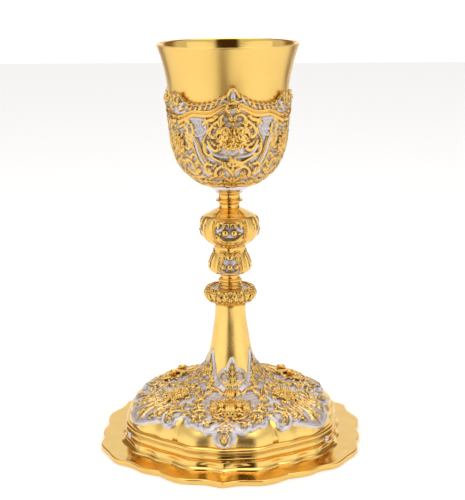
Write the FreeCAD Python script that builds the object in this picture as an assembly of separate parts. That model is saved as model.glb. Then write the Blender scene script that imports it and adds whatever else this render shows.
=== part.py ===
"""A silver-and-gold communion chalice, built as it comes apart on a bench.

Millimetres, +Z up. The origin is on the chalice's own axis, in the plane that the foot stands on.
Azimuth 0 is the front, along -Y, and azimuth grows towards +X. The foot has six sectors round it:
three wide ones with a cartouche, centred on azimuth 0, 120 and 240, and three with a bouquet between.
"""
import FreeCAD, Part
import math
import os

os.makedirs("parts", exist_ok=True)

UP = FreeCAD.Vector(0, 0, 1)
AXIS = FreeCAD.Vector(0, 0, 0)
FOLD = 3                    # the ornament repeats three times round the axis
STEP_DEG = 360.0 / FOLD

# Driving dimensions
HEIGHT = 275.0              # foot plane to the lip of the cup
RIM_R = 47.7                # outside radius of the lip
BASE_R = 94.0               # radius of the foot at its furthest points
SHEET = 1.2                 # spun cup and foot

# Levels of the stack, each the plane where one piece sits on the next
FLANGE_TOP = 3.6
GALLERY_TOP = 18.0
FOOT_TOP = 98.0
COLLAR_SEAT = 106.0         # the floor of the collar's dish, where the lower neck stands
COLLAR_TOP = 109.0
LOWER_NECK_TOP = 118.5
LOWER_KNOP_TOP = 137.6
KNOP_TOP = 160.3
UPPER_NECK_TOP = 175.6
CALYX_BOTTOM = 179.7

# The M8 tie rod and what it clamps; threads are plain cylinders
ROD_R = 4.0
ROD_CLEAR_R = 4.2           # through holes in the stem's pieces
ROD_BOTTOM = 80.0
ROD_TOP = 178.0
TAPPED_R = 4.05             # running fit of the cup's boss on the rod
THREAD_LENGTH = 10.0        # of rod inside the boss: eight turns of 1.25 mm
THROAT_BOTTOM = 92.0
THROAT_TOP = 95.0
NUT_HEIGHT = 6.5
NUT_FLATS = 13.0
WASHER_R = 8.0
WASHER_T = 1.6

# The cup's boss
BOSS_HUB_R = 6.0
BOSS_FLANGE_R = 10.0
BOSS_SEAT_CLEAR = 6.3       # holes that the hub passes through
CUP_WASHER_T = 0.6
CUP_SEAT_R = 9.0            # the flat under the bowl that the boss is soldered to
CALYX_WALL = 1.0
CALYX_FLOOR = 1.0

# Ornament
CALYX_TURN = 8.0            # the calyx is clamped a little turned from the foot
CREST_LOW = 235.5           # the calyx's scalloped edge, between its peaks
CREST_CUT_R = 24.0          # radius of the scallops
MOULDING_LEVEL = 230.0
MOULDING_R = 43.4
MOULDING_HALF = 1.9         # half its height
COLLAR_SCALLOPS = 12
SCALLOP_R = 1.3
STUD_LEVEL = 11.8
STUD_R = 2.1

# Each kind of casting: its size across, up and out, its radius and level on the chalice's skin, and how
# far it leans back from upright
CALYX_CARTOUCHE = ((23.0, 25.0, 5.0), 37.6, 212.0, 8.0)
CALYX_BOUQUET = ((13.0, 17.0, 4.4), 36.6, 208.0, 12.0)
DOME_CARTOUCHE = ((30.0, 32.0, 6.0), 50.0, 33.6, 72.0)
DOME_BOUQUET = ((17.0, 22.0, 5.0), 48.0, 34.2, 72.0)

# The gallery's ridges, each with its scale of the foot's edge, its bottom and its top
GALLERY_RIDGES = [(0.838, FLANGE_TOP, 5.2), (0.814, 5.2, 9.0), (0.804, 9.0, 9.8), (0.818, 9.8, 13.8),
                  (0.804, 13.8, 14.8), (0.816, 14.8, GALLERY_TOP)]
GALLERY_INSIDE = 0.790
FLANGE_INSIDE = 0.984
LEDGE_T = 1.4
FOOT_OPENING_R = 67.0       # the round opening through the gallery's ledge and the flange

# The foot's edge, from the middle of a cartouche sector at 0 to the middle of a bouquet sector at 60:
# azimuth in degrees and radius as a share of BASE_R
CARTOUCHE_EDGE = [(0, 1.000), (6, 0.968), (18, 0.987), (28.5, 0.950)]
BOUQUET_EDGE = [(28.5, 0.950), (37, 0.985), (44, 0.975), (50.5, 1.005), (60, 1.000)]


def place(radius, azimuth, height=0.0):
    """The point at a radius and azimuth round the chalice's axis."""
    turn = math.radians(azimuth)
    return FreeCAD.Vector(radius * math.sin(turn), -radius * math.cos(turn), height)


def section_point(point):
    """A (radius, height) pair as a point in the XZ plane."""
    return FreeCAD.Vector(point[0], 0, point[1])


def smooth(points):
    """One smooth edge through the points of a section."""
    curve = Part.BSplineCurve()
    curve.interpolate([section_point(point) for point in points])
    return curve


def beside(curve, points, distance):
    """The points of a section that runs upwards, moved square to it by a distance, into the piece."""
    moved = []
    for point in points:
        along = curve.tangent(curve.parameter(section_point(point)))[0]
        moved.append((point[0] - distance * along.z, point[1] + distance * along.x))
    return moved


def turned(stretches):
    """A solid of revolution: each stretch is straight if it has two points, or else smooth."""
    edges = []
    for points in stretches:
        if len(points) == 2:
            edges.append(Part.makeLine(section_point(points[0]), section_point(points[1])))
        else:
            edges.append(smooth(points).toShape())
    face = Part.Face(Part.Wire(edges))
    return face.revolve(AXIS, UP, 360)


def straight(points):
    """The straight stretches between one point and the next, closed back to the first."""
    return [[points[i], points[(i + 1) % len(points)]] for i in range(len(points))]


def to_axis(points):
    """The straight stretches that close a section from its last point to its first along the axis."""
    (first_r, first_z), (last_r, last_z) = points[0], points[-1]
    return [[(last_r, last_z), (0, last_z)], [(0, last_z), (0, first_z)], [(0, first_z), (first_r, first_z)]]


def filled(points):
    """The whole solid inside a smooth section that runs from its lowest to its highest point."""
    return turned([points] + to_axis(points))


def cylinder(radius, bottom, top):
    return Part.makeCylinder(radius, top - bottom, FreeCAD.Vector(0, 0, bottom))


def edge_points(stretch, azimuth, scale, height, mirrored):
    """The points of one stretch of the foot's edge, on either side of an azimuth."""
    side = -1 if mirrored else 1
    return [place(share * BASE_R * scale, azimuth + side * angle, height) for angle, share in stretch]


def lobed_block(scale, bottom, top):
    """A prism with the foot's lobed edge, at a scale of its full size."""
    edges = []
    for k in range(FOLD):
        middle = k * STEP_DEG
        to_bouquet = edge_points(BOUQUET_EDGE, middle, scale, bottom, False)
        from_bouquet = edge_points(BOUQUET_EDGE, middle + STEP_DEG, scale, bottom, True)
        stretches = [
            edge_points(CARTOUCHE_EDGE, middle, scale, bottom, False),
            to_bouquet + from_bouquet[::-1][1:],
            edge_points(CARTOUCHE_EDGE, middle + STEP_DEG, scale, bottom, True)[::-1],
        ]
        for points in stretches:
            curve = Part.BSplineCurve()
            curve.interpolate(points)
            edges.append(curve.toShape())
    return Part.Face(Part.Wire(edges)).extrude(FreeCAD.Vector(0, 0, top - bottom))


def casting(kind, azimuth, blank):
    """A low oval mound at an azimuth, fitted to the outside of the shell that it is soldered to."""
    size, radius, level, lean = kind
    matrix = FreeCAD.Matrix()
    matrix.scale(size[0] / 2.0, size[2], size[1] / 2.0)
    mound = Part.makeSphere(1.0).transformGeometry(matrix)
    mound.rotate(AXIS, FreeCAD.Vector(1, 0, 0), -lean)
    mound.rotate(AXIS, UP, azimuth)
    mound.translate(place(radius, azimuth, level))
    return mound.cut(blank)


# The section of each shell, from its lowest point to its highest

CUP_OUTSIDE = [(CUP_SEAT_R, 182.3), (22.0, 185.2), (29.5, 190.6), (33.4, 197.6), (36.3, 206.0), (38.2, 216.6),
               (39.2, 228.0), (40.1, 241.0), (41.7, 254.0), (44.3, 264.6), (46.2, 270.6), (RIM_R, HEIGHT)]
CALYX_OUTSIDE = [(14.0, CALYX_BOTTOM), (19.5, 181.3), (26.8, 185.3), (32.4, 190.9), (35.6, 197.6),
                 (38.3, 206.0), (39.9, 216.6), (40.9, 228.0), (41.6, 238.0), (42.2, 246.0)]
FOOT_OUTSIDE = [(71.4, GALLERY_TOP), (70.6, 22.0), (66.5, 27.5), (55.0, 33.4), (45.0, 36.6), (35.0, 39.2),
                (25.5, 44.0), (19.4, 51.5), (15.4, 62.0), (12.5, 76.0), (10.7, 89.0), (10.6, FOOT_TOP)]
KNOP_OUTSIDE = [(11.0, LOWER_KNOP_TOP), (14.5, 140.2), (18.2, 143.7), (20.0, 149.5), (19.3, 155.2),
                (16.9, 159.2), (14.6, KNOP_TOP)]
LOWER_KNOP_OUTSIDE = [(10.4, LOWER_NECK_TOP), (13.6, 120.4), (14.2, 123.4), (13.0, 129.2),
                      (10.9, 133.5), (11.0, LOWER_KNOP_TOP)]


def cup():
    """The spun bowl, with a flared mouth and a soldered seat for the boss."""
    outside = smooth(CUP_OUTSIDE)
    inside = beside(outside, CUP_OUTSIDE, SHEET)
    inside[0] = (CUP_SEAT_R, CUP_OUTSIDE[0][1] + SHEET)
    inside[-1] = (RIM_R - SHEET, HEIGHT)
    floor = inside[0][1]
    bottom = CUP_OUTSIDE[0][1]
    return turned([
        CUP_OUTSIDE,
        [(RIM_R, HEIGHT), inside[-1]],
        inside[::-1],
        [inside[0], (0, floor)],
        [(0, floor), (0, bottom)],
        [(0, bottom), CUP_OUTSIDE[0]],
    ])


def cup_boss():
    """The turned boss under the cup: a flange soldered to the bowl and a tapped hub."""
    flange_top = CUP_OUTSIDE[0][1]
    flange_bottom = CALYX_BOTTOM + CALYX_FLOOR + CUP_WASHER_T
    hub_bottom = ROD_TOP - THREAD_LENGTH
    boss = turned(straight([
        (0, hub_bottom), (BOSS_HUB_R, hub_bottom), (BOSS_HUB_R, flange_bottom),
        (BOSS_FLANGE_R, flange_bottom), (CUP_SEAT_R, flange_top), (0, flange_top),
    ]))
    return boss.cut(cylinder(TAPPED_R, hub_bottom, ROD_TOP + 1.5))


def cup_washer():
    """The thin nylon washer, captive on the boss's hub."""
    bottom = CALYX_BOTTOM + CALYX_FLOOR
    ring = cylinder(BOSS_FLANGE_R - 0.5, bottom, bottom + CUP_WASHER_T)
    return ring.cut(cylinder(BOSS_HUB_R + 0.05, bottom, bottom + CUP_WASHER_T))


def calyx_blank():
    """The solid inside the calyx's outer face, which the applied castings are fitted to."""
    return filled(CALYX_OUTSIDE)


def calyx():
    """The openwork basket that the cup drops into, with six peaks round its edge."""
    outside = smooth(CALYX_OUTSIDE)
    inside = beside(outside, CALYX_OUTSIDE, CALYX_WALL)
    floor = CALYX_BOTTOM + CALYX_FLOOR
    inside[0] = (CALYX_OUTSIDE[0][0], floor)
    inside[-1] = (inside[-1][0], CALYX_OUTSIDE[-1][1])
    shell = turned([
        CALYX_OUTSIDE,
        [CALYX_OUTSIDE[-1], inside[-1]],
        inside[::-1],
        [inside[0], (BOSS_SEAT_CLEAR, floor)],
        [(BOSS_SEAT_CLEAR, floor), (BOSS_SEAT_CLEAR, CALYX_BOTTOM)],
        [(BOSS_SEAT_CLEAR, CALYX_BOTTOM), CALYX_OUTSIDE[0]],
    ])
    for k in range(FOLD):
        azimuth = CALYX_TURN + (k + 0.5) * STEP_DEG / 2
        start = place(-BASE_R, azimuth, CREST_LOW + CREST_CUT_R)
        shell = shell.cut(Part.makeCylinder(CREST_CUT_R, 2 * BASE_R, start, place(1, azimuth)))
    return shell


def calyx_moulding():
    """The half-round gold moulding that runs round the calyx below its peaks."""
    bottom, top = MOULDING_LEVEL - MOULDING_HALF, MOULDING_LEVEL + MOULDING_HALF
    inside_r, shoulder_r = MOULDING_R - 3.4, MOULDING_R - 0.8
    ring = turned([
        [(inside_r, bottom), (shoulder_r, bottom + 0.5), (MOULDING_R, MOULDING_LEVEL),
         (shoulder_r, top - 0.5), (inside_r, top)],
        [(inside_r, top), (inside_r, bottom)],
    ])
    return ring.cut(calyx_blank())


def calyx_cartouche(k):
    """A cast cartouche with its figures, on the front of the calyx and at each third of its round."""
    return casting(CALYX_CARTOUCHE, CALYX_TURN + k * STEP_DEG, calyx_blank())


def calyx_bouquet(k):
    """A cast bunch of flowers, half way between two cartouches."""
    return casting(CALYX_BOUQUET, CALYX_TURN + (k + 0.5) * STEP_DEG, calyx_blank())


def seat_ring():
    """The silver dished ring that the calyx sits on."""
    return turned([
        [(BOSS_SEAT_CLEAR, UPPER_NECK_TOP), (9.6, UPPER_NECK_TOP)],
        [(9.6, UPPER_NECK_TOP), (11.0, 177.0), (13.2, 179.0)],
        [(13.2, 179.0), (13.2, CALYX_BOTTOM)],
        [(13.2, CALYX_BOTTOM), (BOSS_SEAT_CLEAR, CALYX_BOTTOM)],
        [(BOSS_SEAT_CLEAR, CALYX_BOTTOM), (BOSS_SEAT_CLEAR, UPPER_NECK_TOP)],
    ])


def upper_neck():
    """The turned neck under the cup: a bead round its waist and a conical skirt over the knop."""
    socket_bottom = ROD_TOP - THREAD_LENGTH - 0.5
    neck = turned([
        [(0, KNOP_TOP), (14.6, KNOP_TOP)],
        [(14.6, KNOP_TOP), (11.4, 161.9)],
        [(11.4, 161.9), (7.9, 163.9), (6.9, 166.0)],
        [(6.9, 166.0), (7.2, 167.4)],
        [(7.2, 167.4), (9.2, 169.4)],
        [(9.2, 169.4), (7.2, 171.6)],
        [(7.2, 171.6), (7.6, 174.0), (9.6, UPPER_NECK_TOP)],
        [(9.6, UPPER_NECK_TOP), (0, UPPER_NECK_TOP)],
        [(0, UPPER_NECK_TOP), (0, KNOP_TOP)],
    ])
    neck = neck.cut(cylinder(ROD_R, KNOP_TOP, UPPER_NECK_TOP))
    return neck.cut(cylinder(BOSS_HUB_R + 0.1, socket_bottom, UPPER_NECK_TOP))


def hollow_casting(section, wall):
    """A hollow piece of the stem: a shell of revolution with flat ends, bored for the tie rod."""
    outside = smooth(section)
    inside = beside(outside, section, wall)
    bottom, top = section[0][1], section[-1][1]
    inner = [(r, z) for r, z in inside if bottom + wall < z < top - wall]
    solid = filled(section).cut(filled(inner))
    return solid.cut(cylinder(ROD_CLEAR_R, bottom, top))


def knop():
    """The large knop, which the chalice is held by."""
    return hollow_casting(KNOP_OUTSIDE, 1.8)


def lower_knop():
    """The pear-shaped knop under it."""
    return hollow_casting(LOWER_KNOP_OUTSIDE, 1.8)


def lower_neck():
    """The turned neck between the lower knop and the collar."""
    neck = turned([
        [(0, COLLAR_SEAT), (8.6, COLLAR_SEAT)],
        [(8.6, COLLAR_SEAT), (7.8, 110.2)],
        [(7.8, 110.2), (7.0, 111.8)],
        [(7.0, 111.8), (8.2, 113.6)],
        [(8.2, 113.6), (6.6, 115.4)],
        [(6.6, 115.4), (6.6, 117.0), (8.6, LOWER_NECK_TOP)],
        [(8.6, LOWER_NECK_TOP), (0, LOWER_NECK_TOP)],
        [(0, LOWER_NECK_TOP), (0, COLLAR_SEAT)],
    ])
    return neck.cut(cylinder(ROD_CLEAR_R, COLLAR_SEAT, LOWER_NECK_TOP))


def collar():
    """The dished rosette collar, with a scalloped rim, at the top of the foot."""
    dish = turned([
        [(0, FOOT_TOP), (10.8, FOOT_TOP)],
        [(10.8, FOOT_TOP), (16.0, 99.6), (18.4, 103.0), (16.8, 107.4), (14.0, 108.2)],
        [(14.0, 108.2), (11.0, 106.4), (8.6, COLLAR_SEAT)],
        [(8.6, COLLAR_SEAT), (0, COLLAR_SEAT)],
        [(0, COLLAR_SEAT), (0, FOOT_TOP)],
    ])
    for k in range(COLLAR_SCALLOPS):
        notch = place(19.0, (k + 0.5) * 360 / COLLAR_SCALLOPS, FOOT_TOP)
        dish = dish.cut(Part.makeCylinder(SCALLOP_R, COLLAR_TOP - FOOT_TOP, notch))
    return dish.cut(cylinder(ROD_CLEAR_R, FOOT_TOP, COLLAR_SEAT))


def foot_blank():
    """The solid inside the foot's outer face, which the applied castings are fitted to."""
    return filled(FOOT_OUTSIDE)


def foot_hollow():
    """The hollow under the foot's shell."""
    outside = smooth(FOOT_OUTSIDE)
    inside = beside(outside, FOOT_OUTSIDE, SHEET)
    inside[0] = (FOOT_OUTSIDE[0][0] - SHEET, GALLERY_TOP)
    inside[-1] = (FOOT_OUTSIDE[-1][0] - SHEET, FOOT_TOP)
    return filled(inside)


def foot():
    """The raised foot: a trumpet that flares into the dome."""
    return foot_blank().cut(foot_hollow())


def dome_cartouche(k):
    """A cast cartouche with its figures, on the dome's front and at each third of its round."""
    return casting(DOME_CARTOUCHE, k * STEP_DEG, foot_blank())


def dome_bouquet(k):
    """A cast bunch of flowers on the dome, half way between two cartouches."""
    return casting(DOME_BOUQUET, (k + 0.5) * STEP_DEG, foot_blank())


def throat_plate():
    """The disc soldered into the trumpet's throat, which the nut pulls against."""
    disc = cylinder(2 * WASHER_R, THROAT_BOTTOM, THROAT_TOP).common(foot_hollow())
    return disc.cut(cylinder(ROD_CLEAR_R, THROAT_BOTTOM, THROAT_TOP))


def gallery_blank():
    """The solid inside the gallery's ridged and lobed outer face."""
    first, *others = [lobed_block(scale, bottom, top) for scale, bottom, top in GALLERY_RIDGES]
    return first.multiFuse(others)


def gallery():
    """The lobed upright band under the dome, with a ledge inside its top that the dome sits on."""
    band = gallery_blank().cut(lobed_block(GALLERY_INSIDE, FLANGE_TOP, GALLERY_TOP - LEDGE_T))
    return band.cut(cylinder(FOOT_OPENING_R, FLANGE_TOP, GALLERY_TOP))


def gallery_stud(k):
    """A small silver button on the gallery, in the middle of a bouquet sector."""
    azimuth = (k + 0.5) * STEP_DEG
    face = 0.824 * BASE_R
    button = Part.makeCylinder(STUD_R, 2.4, place(face - 2.0, azimuth, STUD_LEVEL), place(1, azimuth))
    button = button.fuse(Part.makeSphere(1.5, place(face, azimuth, STUD_LEVEL)))
    return button.cut(gallery_blank())


def base_flange():
    """The lobed flange that the chalice stands on: a sheet with its edge turned down."""
    block = lobed_block(1.0, 0, FLANGE_TOP)
    block = block.cut(lobed_block(FLANGE_INSIDE, 0, FLANGE_TOP - LEDGE_T))
    return block.cut(cylinder(FOOT_OPENING_R, 0, FLANGE_TOP))


def tie_rod():
    """The threaded rod that holds the stem together and takes the cup's boss."""
    return cylinder(ROD_R, ROD_BOTTOM, ROD_TOP)


def nut_washer():
    """The plain washer under the throat plate."""
    bottom = THROAT_BOTTOM - WASHER_T
    return cylinder(WASHER_R, bottom, THROAT_BOTTOM).cut(cylinder(ROD_CLEAR_R, bottom, THROAT_BOTTOM))


def retaining_nut():
    """The hexagon nut that clamps the foot and the stem on the tie rod."""
    top = THROAT_BOTTOM - WASHER_T
    bottom = top - NUT_HEIGHT
    corner_r = NUT_FLATS / math.sqrt(3)
    corners = [place(corner_r, 60 * i, bottom) for i in range(7)]
    prism = Part.Face(Part.makePolygon(corners)).extrude(FreeCAD.Vector(0, 0, NUT_HEIGHT))
    return prism.cut(cylinder(ROD_R, bottom, top))


SINGLE = [cup, cup_boss, cup_washer, calyx, calyx_moulding, seat_ring, upper_neck, knop, lower_knop,
          lower_neck, collar, foot, throat_plate, gallery, base_flange, tie_rod, nut_washer, retaining_nut]
REPEATED = [calyx_cartouche, calyx_bouquet, dome_cartouche, dome_bouquet, gallery_stud]


def write(name, shape):
    """Check that the piece is one valid solid and write its file."""
    solids = shape.Solids
    if len(solids) != 1 or not solids[0].isValid():
        raise ValueError("%s: %d solids, valid %s" % (name, len(solids), shape.isValid()))
    solids[0].exportStep("parts/%s.step" % name)
    print("%-20s %10.1f mm3" % (name, solids[0].Volume))


for make in SINGLE:
    write(make.__name__, make())
for make in REPEATED:
    for k in range(FOLD):
        write("%s_%d" % (make.__name__, k + 1), make(k))
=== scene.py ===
"""The looks of the communion chalice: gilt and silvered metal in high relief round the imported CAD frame.

Lengths inside the helpers are millimetres, and meshes are written in metres. Azimuth 0 is the front,
along -Y, and grows towards +X. The ornament repeats three times: a cartouche sector and a bouquet
sector alternate every 60 degrees, and each is the same to left and right of its middle.
"""
import math

import bmesh
import bpy
import numpy as np
from mathutils import Matrix, Vector


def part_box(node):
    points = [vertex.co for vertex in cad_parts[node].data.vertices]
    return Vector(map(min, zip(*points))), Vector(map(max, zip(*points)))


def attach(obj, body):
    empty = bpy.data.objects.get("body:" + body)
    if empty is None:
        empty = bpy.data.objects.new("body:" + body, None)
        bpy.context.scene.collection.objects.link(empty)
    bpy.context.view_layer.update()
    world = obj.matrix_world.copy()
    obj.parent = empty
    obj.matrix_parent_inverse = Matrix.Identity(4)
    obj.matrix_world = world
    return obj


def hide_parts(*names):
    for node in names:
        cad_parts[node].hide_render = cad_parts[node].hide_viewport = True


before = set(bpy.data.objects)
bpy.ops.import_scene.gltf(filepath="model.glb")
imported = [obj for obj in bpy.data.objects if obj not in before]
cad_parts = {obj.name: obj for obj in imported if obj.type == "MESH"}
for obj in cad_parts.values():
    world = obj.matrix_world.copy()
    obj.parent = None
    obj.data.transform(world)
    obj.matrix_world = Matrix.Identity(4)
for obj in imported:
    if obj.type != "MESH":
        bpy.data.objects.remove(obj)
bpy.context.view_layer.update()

MM = 0.001
FOLD = 3
SECTOR = 60.0               # degrees from the middle of a cartouche sector to that of a bouquet sector
CALYX_TURN = 8.0            # the calyx is clamped a little turned from the foot
KNOP_TURN = 4.0             # and so are the knops and the collar
ROD_CLEAR_R = 4.2           # the bore that clears the tie rod
DOME_MIDDLE = 35.0          # the level of the dome's castings, in mm up along the dome
DOME_TURN = 3.0             # their azimuth there, where the chased relief leans
CALYX_CARTOUCHE_UP = 50.0   # the middles of the calyx's castings, in mm up along the calyx
CALYX_BOUQUET_UP = 42.0


def low(node):
    """The lowest level of a CAD node, in millimetres."""
    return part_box(node)[0][2] / MM


def high(node):
    """The highest level of a CAD node, in millimetres."""
    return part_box(node)[1][2] / MM


def half_width(node):
    """Half the width of a CAD node along X, in millimetres."""
    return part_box(node)[1][0] / MM


LIP_R = half_width("cup")
LIP_Z = high("cup")
FLANGE_TOP = high("base_flange")
GALLERY_TOP = high("gallery")
FOOT_TOP = high("foot")
COLLAR_SEAT = low("lower_neck")
NECK_TOP = high("upper_neck")
KNOP_TOP = high("knop")
KNOP_FOOT = low("knop")
PEAR_FOOT = low("lower_knop")
CALYX_FOOT = low("calyx")
BASE_R = -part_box("base_flange")[0][1] / MM

# The foot's edge from the middle of a cartouche sector to the middle of a bouquet sector
FOOT_EDGE = [(0, 1.000), (6, 0.968), (18, 0.987), (28.5, 0.944), (37, 0.970), (44, 0.967),
             (50.5, 1.005), (60, 1.000)]
CREASE = 3                  # the point of the edge where two lobes meet in a crease up the dome


# ------------------------ lines and sections

def ramp(value, start, span):
    """0 up to a start, and 1 from a span beyond it."""
    return np.clip((value - start) / span, 0, 1)


def eased(share):
    """A share from 0 to 1 that starts and ends gently."""
    return share * share * (3 - 2 * share)


def folded(azimuths):
    """Degrees from the nearest middle of a cartouche sector, from 0 to SECTOR."""
    return np.abs((azimuths + SECTOR) % (2 * SECTOR) - SECTOR)


def groove(across, middle, width):
    """How deep a soft groove is, as a share of its depth at its middle."""
    return np.exp(-((across - middle) / width)**2)


def edge_curve(points):
    """A function of azimuth from (degrees, value) pairs, without the points that lean back."""
    points = np.array(points, float)
    points = points[np.r_[True, np.diff(points[:, 0]) > 0]]
    return lambda azimuths: np.interp(azimuths, points[:, 0], points[:, 1])


def through(points, per_span=16):
    """A smooth line through points, with so many points to a span."""
    points = np.array(points, float)
    knots = np.r_[0, np.cumsum(np.linalg.norm(np.diff(points, axis=0), axis=1))]
    slopes = np.gradient(points, knots, axis=0)
    line = []
    for i in range(len(points) - 1):
        span = knots[i + 1] - knots[i]
        t = np.linspace(0, 1, per_span, endpoint=False)[:, None]
        line.append((2 * t**3 - 3 * t**2 + 1) * points[i] + (t**3 - 2 * t**2 + t) * span * slopes[i]
                    + (3 * t**2 - 2 * t**3) * points[i + 1] + (t**3 - t**2) * span * slopes[i + 1])
    return np.vstack(line + [points[-1:]])


def rounded(corners, radius, closed=True):
    """A line of straight runs whose corners are rounded off, for a section with crisp turned edges."""
    corners = np.array(corners, float)
    count = len(corners)
    line = []
    for i in range(count):
        here = corners[i]
        if not closed and i in (0, count - 1):
            line.append(here[None])
            continue
        before, after = corners[i - 1] - here, corners[(i + 1) % count] - here
        reach = min(radius, 0.45 * np.linalg.norm(before), 0.45 * np.linalg.norm(after))
        start = here + before / np.linalg.norm(before) * reach
        end = here + after / np.linalg.norm(after) * reach
        t = np.linspace(0, 1, 5)[:, None]
        line.append((1 - t)**2 * start + 2 * t * (1 - t) * here + t**2 * end)
    return np.vstack(line)


class Section:
    """A smooth line of (radius, height) pairs, with its outward direction at each point.

    Its rows are a step apart up to a distance along it, and five times as far apart beyond that.
    """

    def __init__(self, points, step, fine_to=None):
        line = through(points)
        along = np.r_[0, np.cumsum(np.linalg.norm(np.diff(line, axis=0), axis=1))]
        self.length = along[-1]
        fine_to = fine_to or self.length
        self.v = np.linspace(0, fine_to, int(fine_to / step) + 1)
        if fine_to < self.length:
            beyond = np.linspace(fine_to, self.length, int((self.length - fine_to) / (5 * step)) + 1)
            self.v = np.r_[self.v, beyond[1:]]
        self.r = np.interp(self.v, along, line[:, 0])
        self.z = np.interp(self.v, along, line[:, 1])
        rise = np.stack([np.gradient(self.r, self.v), np.gradient(self.z, self.v)])
        rise /= np.linalg.norm(rise, axis=0)
        self.out_r, self.out_z = rise[1], -rise[0]

    def radius(self, v):
        """The radius at a distance along the line."""
        return np.interp(v, self.v, self.r)

    def level(self, v):
        """The height at a distance along the line."""
        return np.interp(v, self.v, self.z)

    def up_to(self, z):
        """The distance along the line up to a height."""
        return np.interp(z, self.z, self.v)

    def point(self, v, out=0.0):
        """Radius and height at a distance along the line, moved outwards."""
        out_r, out_z = np.interp(v, self.v, self.out_r), np.interp(v, self.v, self.out_z)
        return self.radius(v) + out * out_r, self.level(v) + out * out_z


# ------------------------ meshes

def new_object(name, mesh):
    """An object in the scene that shows a mesh."""
    thing = bpy.data.objects.new(name, mesh)
    bpy.context.scene.collection.objects.link(thing)
    return thing


def paint(mesh, colours):
    """Give each point its finish and its painted shade, which the materials read: silver, satin, painted
    shade and one.
    """
    layer = mesh.color_attributes.new("finish", "FLOAT_COLOR", "POINT")
    layer.data.foreach_set("color", colours.astype(np.float32).ravel())


def grid_object(name, grid, rows_close=True, colours=None):
    """A closed skin of quads over a grid of points in mm: rows run along the section, columns go round."""
    rows, columns = grid.shape[:2]
    mesh = bpy.data.meshes.new(name)
    mesh.vertices.add(rows * columns)
    mesh.vertices.foreach_set("co", (grid * MM).ravel())
    row = np.arange(rows if rows_close else rows - 1)
    i, j = np.meshgrid(row, np.arange(columns), indexing="ij")
    above, right = (i + 1) % rows, (j + 1) % columns
    quads = np.stack([i * columns + j, i * columns + right, above * columns + right, above * columns + j], -1)
    quads = quads.reshape(-1, 4).astype(np.int32)
    mesh.loops.add(quads.size)
    mesh.loops.foreach_set("vertex_index", quads.ravel())
    mesh.polygons.add(len(quads))
    mesh.polygons.foreach_set("loop_start", np.arange(0, quads.size, 4, dtype=np.int32))
    mesh.update(calc_edges=True)
    mesh.shade_smooth()
    if colours is not None:
        paint(mesh, colours)
    return new_object(name, mesh)


def ring_points(radii, heights, azimuths):
    """Points round the axis: radii may be one to a row, or a full grid."""
    turn = np.radians(np.atleast_2d(azimuths))
    radii = np.broadcast_to(radii if radii.ndim == 2 else radii[:, None], (len(radii), turn.shape[1]))
    heights = np.broadcast_to(heights if heights.ndim == 2 else heights[:, None], radii.shape)
    return np.stack([radii * np.sin(turn), -radii * np.cos(turn), heights], -1)


def lathe(name, line, columns=160, sharp_deg=40):
    """A turned piece: its section is a closed line, or starts and ends on the axis."""
    line = np.array(line, float)
    azimuths = np.arange(columns) * 360.0 / columns
    on_axis = line[0, 0] < 1e-6
    body = line[1:-1] if on_axis else line
    grid = ring_points(body[:, 0], body[:, 1], azimuths)
    piece = grid_object(name, grid, rows_close=not on_axis)
    if on_axis:
        close_at_axis(piece.data, line[0, 1], line[-1, 1], len(body), columns)
    piece.data.set_sharp_from_angle(angle=math.radians(sharp_deg))
    return piece


def close_at_axis(mesh, first_z, last_z, rows, columns):
    """Fans of triangles from the first and last rows to a point on the axis."""
    edit = bmesh.new()
    edit.from_mesh(mesh)
    edit.verts.ensure_lookup_table()
    for z, row, flip in ((first_z, 0, True), (last_z, rows - 1, False)):
        tip = edit.verts.new((0, 0, z * MM))
        edit.verts.ensure_lookup_table()
        for j in range(columns):
            here, there = edit.verts[row * columns + j], edit.verts[row * columns + (j + 1) % columns]
            edit.faces.new((there, here, tip) if flip else (here, there, tip)).smooth = True
    edit.to_mesh(mesh)
    edit.free()


def joined(name, pieces):
    """Several objects made into one."""
    edit = bmesh.new()
    for piece in pieces:
        edit.from_mesh(piece.data)
        bpy.data.objects.remove(piece)
    mesh = bpy.data.meshes.new(name)
    edit.to_mesh(mesh)
    edit.free()
    return new_object(name, mesh)


def finish(piece, body, material, slot, *nodes):
    """Give a piece its material, its body and the CAD nodes that it stands for. The slot is not used."""
    piece.data.materials.clear()
    piece.data.materials.append(material)
    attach(piece, body)
    if nodes:
        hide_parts(*nodes)
    return piece


# ------------------------ relief

GOLD, SILVER, SATIN = 0, 1, 2
CARTOUCHE, BOUQUET = 0, 1


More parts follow.
